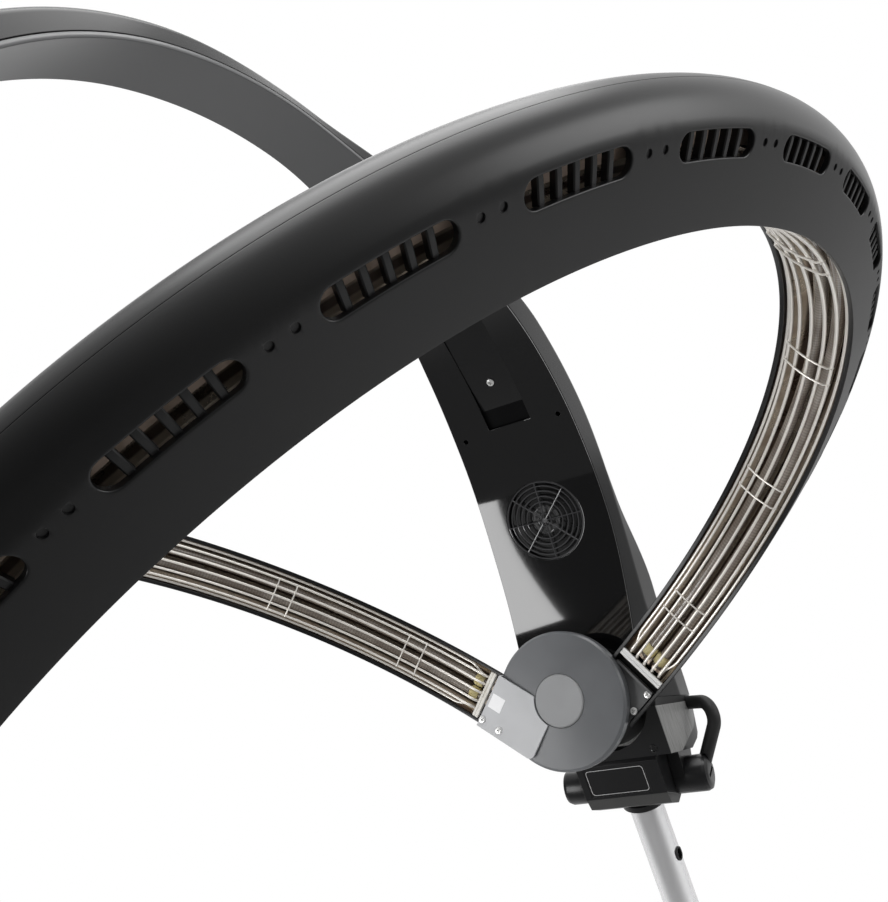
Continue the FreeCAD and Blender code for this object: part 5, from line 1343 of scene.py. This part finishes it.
# %% [markdown]
# ## Stage, light and camera
# The machine stands on a pale floor in a white room whose front side is dark, so that black plastic stays
# black. A large soft box overhead gives the broad highlights along the crown of the loop, one at the front
# left lays a pale sheen on the gloss panel and the hub, and two more keep the right and the back open.
# The floor fades into plain white away from the stand, so that no horizon crosses the picture.

# %% Floor and room
FLOOR_HALF = 9000.0
FLOOR_FADE = (0.55, 1.15)
FLOOR_AHEAD = (0.4, -1.4)
FLOOR_DIM = 0.16


def pale_floor():
    """Diffuse near the stand, where it catches the shadow, and plain white further out."""
    graph = Finish("pale_floor", specular_ior_level=0.1, roughness=0.8)
    grain = graph.noise(30, 4)
    graph.feed("Base Color", graph.blend(grain, (0.80, 0.80, 0.80), (0.84, 0.84, 0.84)))
    here = graph.node("ShaderNodeTexCoord", output="Object")
    away = graph.vector("DISTANCE", here, (0, PIVOT.y * MM, 0), "Value")
    white, dim = [graph.node("ShaderNodeEmission", None, {"Color": (1, 1, 1), "Strength": strength})
                  for strength in (1.0, FLOOR_DIM)]
    seen, mirrored = [graph.rays(kind) for kind in ("Camera", "Glossy")]
    shader = Value(graph, graph.shader.outputs[0])
    mixed = graph.node("ShaderNodeMixShader", None, {0: away.between(*FLOOR_FADE) * seen, 1: shader, 2: white})
    ahead = graph.part(here, "Y").between(*FLOOR_AHEAD)
    mixed = graph.node("ShaderNodeMixShader", None, {0: ahead * mirrored, 1: mixed, 2: dim})
    graph.tree.links.new(mixed.socket, graph.tree.nodes["Material Output"].inputs["Surface"])
    return graph.material


floor_mesh = bpy.data.meshes.new("floor")
edge = FLOOR_HALF * MM
floor_mesh.from_pydata([(-edge, -edge, 0), (edge, -edge, 0), (edge, edge, 0), (-edge, edge, 0)], [], [(0, 1, 2, 3)])
floor = bpy.data.objects.new("floor", floor_mesh)
bpy.context.scene.collection.objects.link(floor)
floor_mesh.materials.append(pale_floor())
print("floor laid")

# %% White room
room = bpy.data.worlds.new("white_room")
room.use_nodes = True
bpy.context.scene.world = room
air = Graph(room.node_tree)
ROOM_FOR_LIGHT = 0.42
ROOM_FOR_GLOSS = 1.0
ROOM_DARK_SIDE = 0.085
LIT_FROM = (0.35, 0.8, 0.55)
LIT_FADE = (-0.45, 0.75)
seen, through, mirrored = [air.rays(kind) for kind in ("Camera", "Transmission", "Glossy")]
facing = air.node("ShaderNodeTexCoord", output="Generated")
lit_side = air.vector("DOT_PRODUCT", facing, LIT_FROM, "Value").between(*LIT_FADE)
gloss_level = lit_side * (ROOM_FOR_GLOSS - ROOM_DARK_SIDE) + ROOM_DARK_SIDE
plain = air.node("ShaderNodeMath", {"operation": "MAXIMUM"}, {0: seen, 1: through})
level = plain + (1 - plain) * (mirrored * gloss_level + (1 - mirrored) * ROOM_FOR_LIGHT)
air.plug(room.node_tree.nodes["Background"].inputs["Strength"], level)
air.plug(room.node_tree.nodes["Background"].inputs["Color"], (1, 1, 1))
print("the room is white")

# %% Lamps
LAMPS = {
    "overhead": ((300, 500, 3400), (0, 100, 1300), 1900, 34),
    "front_left": ((-1680, -1900, 1700), (0, 100, 1300), 1400, 36),
    "right_side": ((2300, 300, 1900), (0, 0, 1250), 1300, 16),
    "behind": ((-900, 2500, 2300), (0, 0, 1300), 1800, 14),
}
for name, (place, aim, size, power) in LAMPS.items():
    lamp = bpy.data.lights.new(name, "AREA")
    lamp.shape = "SQUARE"
    lamp.size = size * MM
    lamp.energy = power
    stand = bpy.data.objects.new(name, lamp)
    stand.location = Vector(place) * MM
    stand.rotation_euler = (Vector(aim) - Vector(place)).to_track_quat("-Z", "Y").to_euler()
    bpy.context.scene.collection.objects.link(stand)
print("lit by", ", ".join(LAMPS))

# %% Camera
EYE = HEAD_CENTRE + Vector((306.7, -404.2, 178.3))
EYE_FORWARD = Vector((-0.4412, 0.8915, -0.1031)).normalized()
EYE_UP = Vector((0.2663, 0.2397, 0.9336))
FOCAL = 36.84
eye_right = EYE_FORWARD.cross(EYE_UP).normalized()
eye = bpy.data.cameras.new("eye")
eye.sensor_width = 36
eye.lens = FOCAL
eye.clip_start = 0.02
camera = bpy.data.objects.new("camera", eye)
camera.matrix_world = basis(EYE * MM, eye_right, eye_right.cross(EYE_FORWARD), -EYE_FORWARD)
bpy.context.scene.collection.objects.link(camera)
bpy.context.scene.camera = camera
bpy.context.scene.view_settings.view_transform = "Standard"
print("the camera stands at", [round(v) for v in EYE], "mm")

# %% [markdown]
# ## Finishes for the frame's own parts
# A part from the frame keeps its form. Its sharp edges get a small round, because no moulded or machined part
# has a true corner, and the light that such an edge catches tells the eye how big the part is. A short chain of
# geometry nodes first joins the frame's facets and marks only real edges as sharp, so that a long curved
# surface mirrors the room in one sweep and not in steps.

# %% Join facets and round edges
def facet_joiner(angle):
    """Geometry nodes that weld a part and keep only edges sharper than angle degrees crisp."""
    tree = bpy.data.node_groups.new(f"join_facets_{angle}", "GeometryNodeTree")
    tree.interface.new_socket("Geometry", in_out="INPUT", socket_type="NodeSocketGeometry")
    tree.interface.new_socket("Geometry", in_out="OUTPUT", socket_type="NodeSocketGeometry")
    graph = Graph(tree)
    part = graph.node("NodeGroupInput")
    welded = graph.node("GeometryNodeMergeByDistance", None, {"Geometry": part, "Distance": 0.004 * MM})
    bend = graph.node("GeometryNodeInputMeshEdgeAngle")
    sharp = graph.node("FunctionNodeCompare", {"operation": "GREATER_THAN"}, {0: bend, 1: math.radians(angle)})
    eased = graph.node("GeometryNodeSetMeshNormal", {"mode": "SHARPNESS"},
                       {"Mesh": welded, "Remove Custom": True, "Edge Sharpness": sharp})
    graph.node("NodeGroupOutput", None, {0: eased}, output=None)
    return tree


REAL_EDGE = 24
JOIN_FACETS = facet_joiner(REAL_EDGE)


def soften(part, width, segments=2):
    joined = part.modifiers.new("join_facets", "NODES")
    joined.node_group = JOIN_FACETS
    if width:
        bevel = part.modifiers.new("edge_round", "BEVEL")
        bevel.width = width * MM
        bevel.segments = segments
        bevel.limit_method = "ANGLE"
        bevel.angle_limit = math.radians(REAL_EDGE)
        bevel.harden_normals = True


EDGE_ROUNDS = {"arm_": 0.45, "base_": 0.8, "castor": 0.4, "tilt_": 0.5, "hub_": 0.35, "control": 0.8, "left_end": 0.4,
               "right_end": 0.4, "end_bars": 0.35, "nose": 0.4, "height": 0.6, "clamp": 0.6}
for name, part in nodes.items():
    slots = [m.name for m in part.data.materials]
    part.data.materials.clear()
    part.data.materials.append(FINISHES.get(name) or FINISHES.get(slots[0]) or FINISHES["satin black plastic"])
    soften(part, next((width for start, width in EDGE_ROUNDS.items() if name.startswith(start)), 0.0))
print("finished", len(nodes), "parts of the frame")
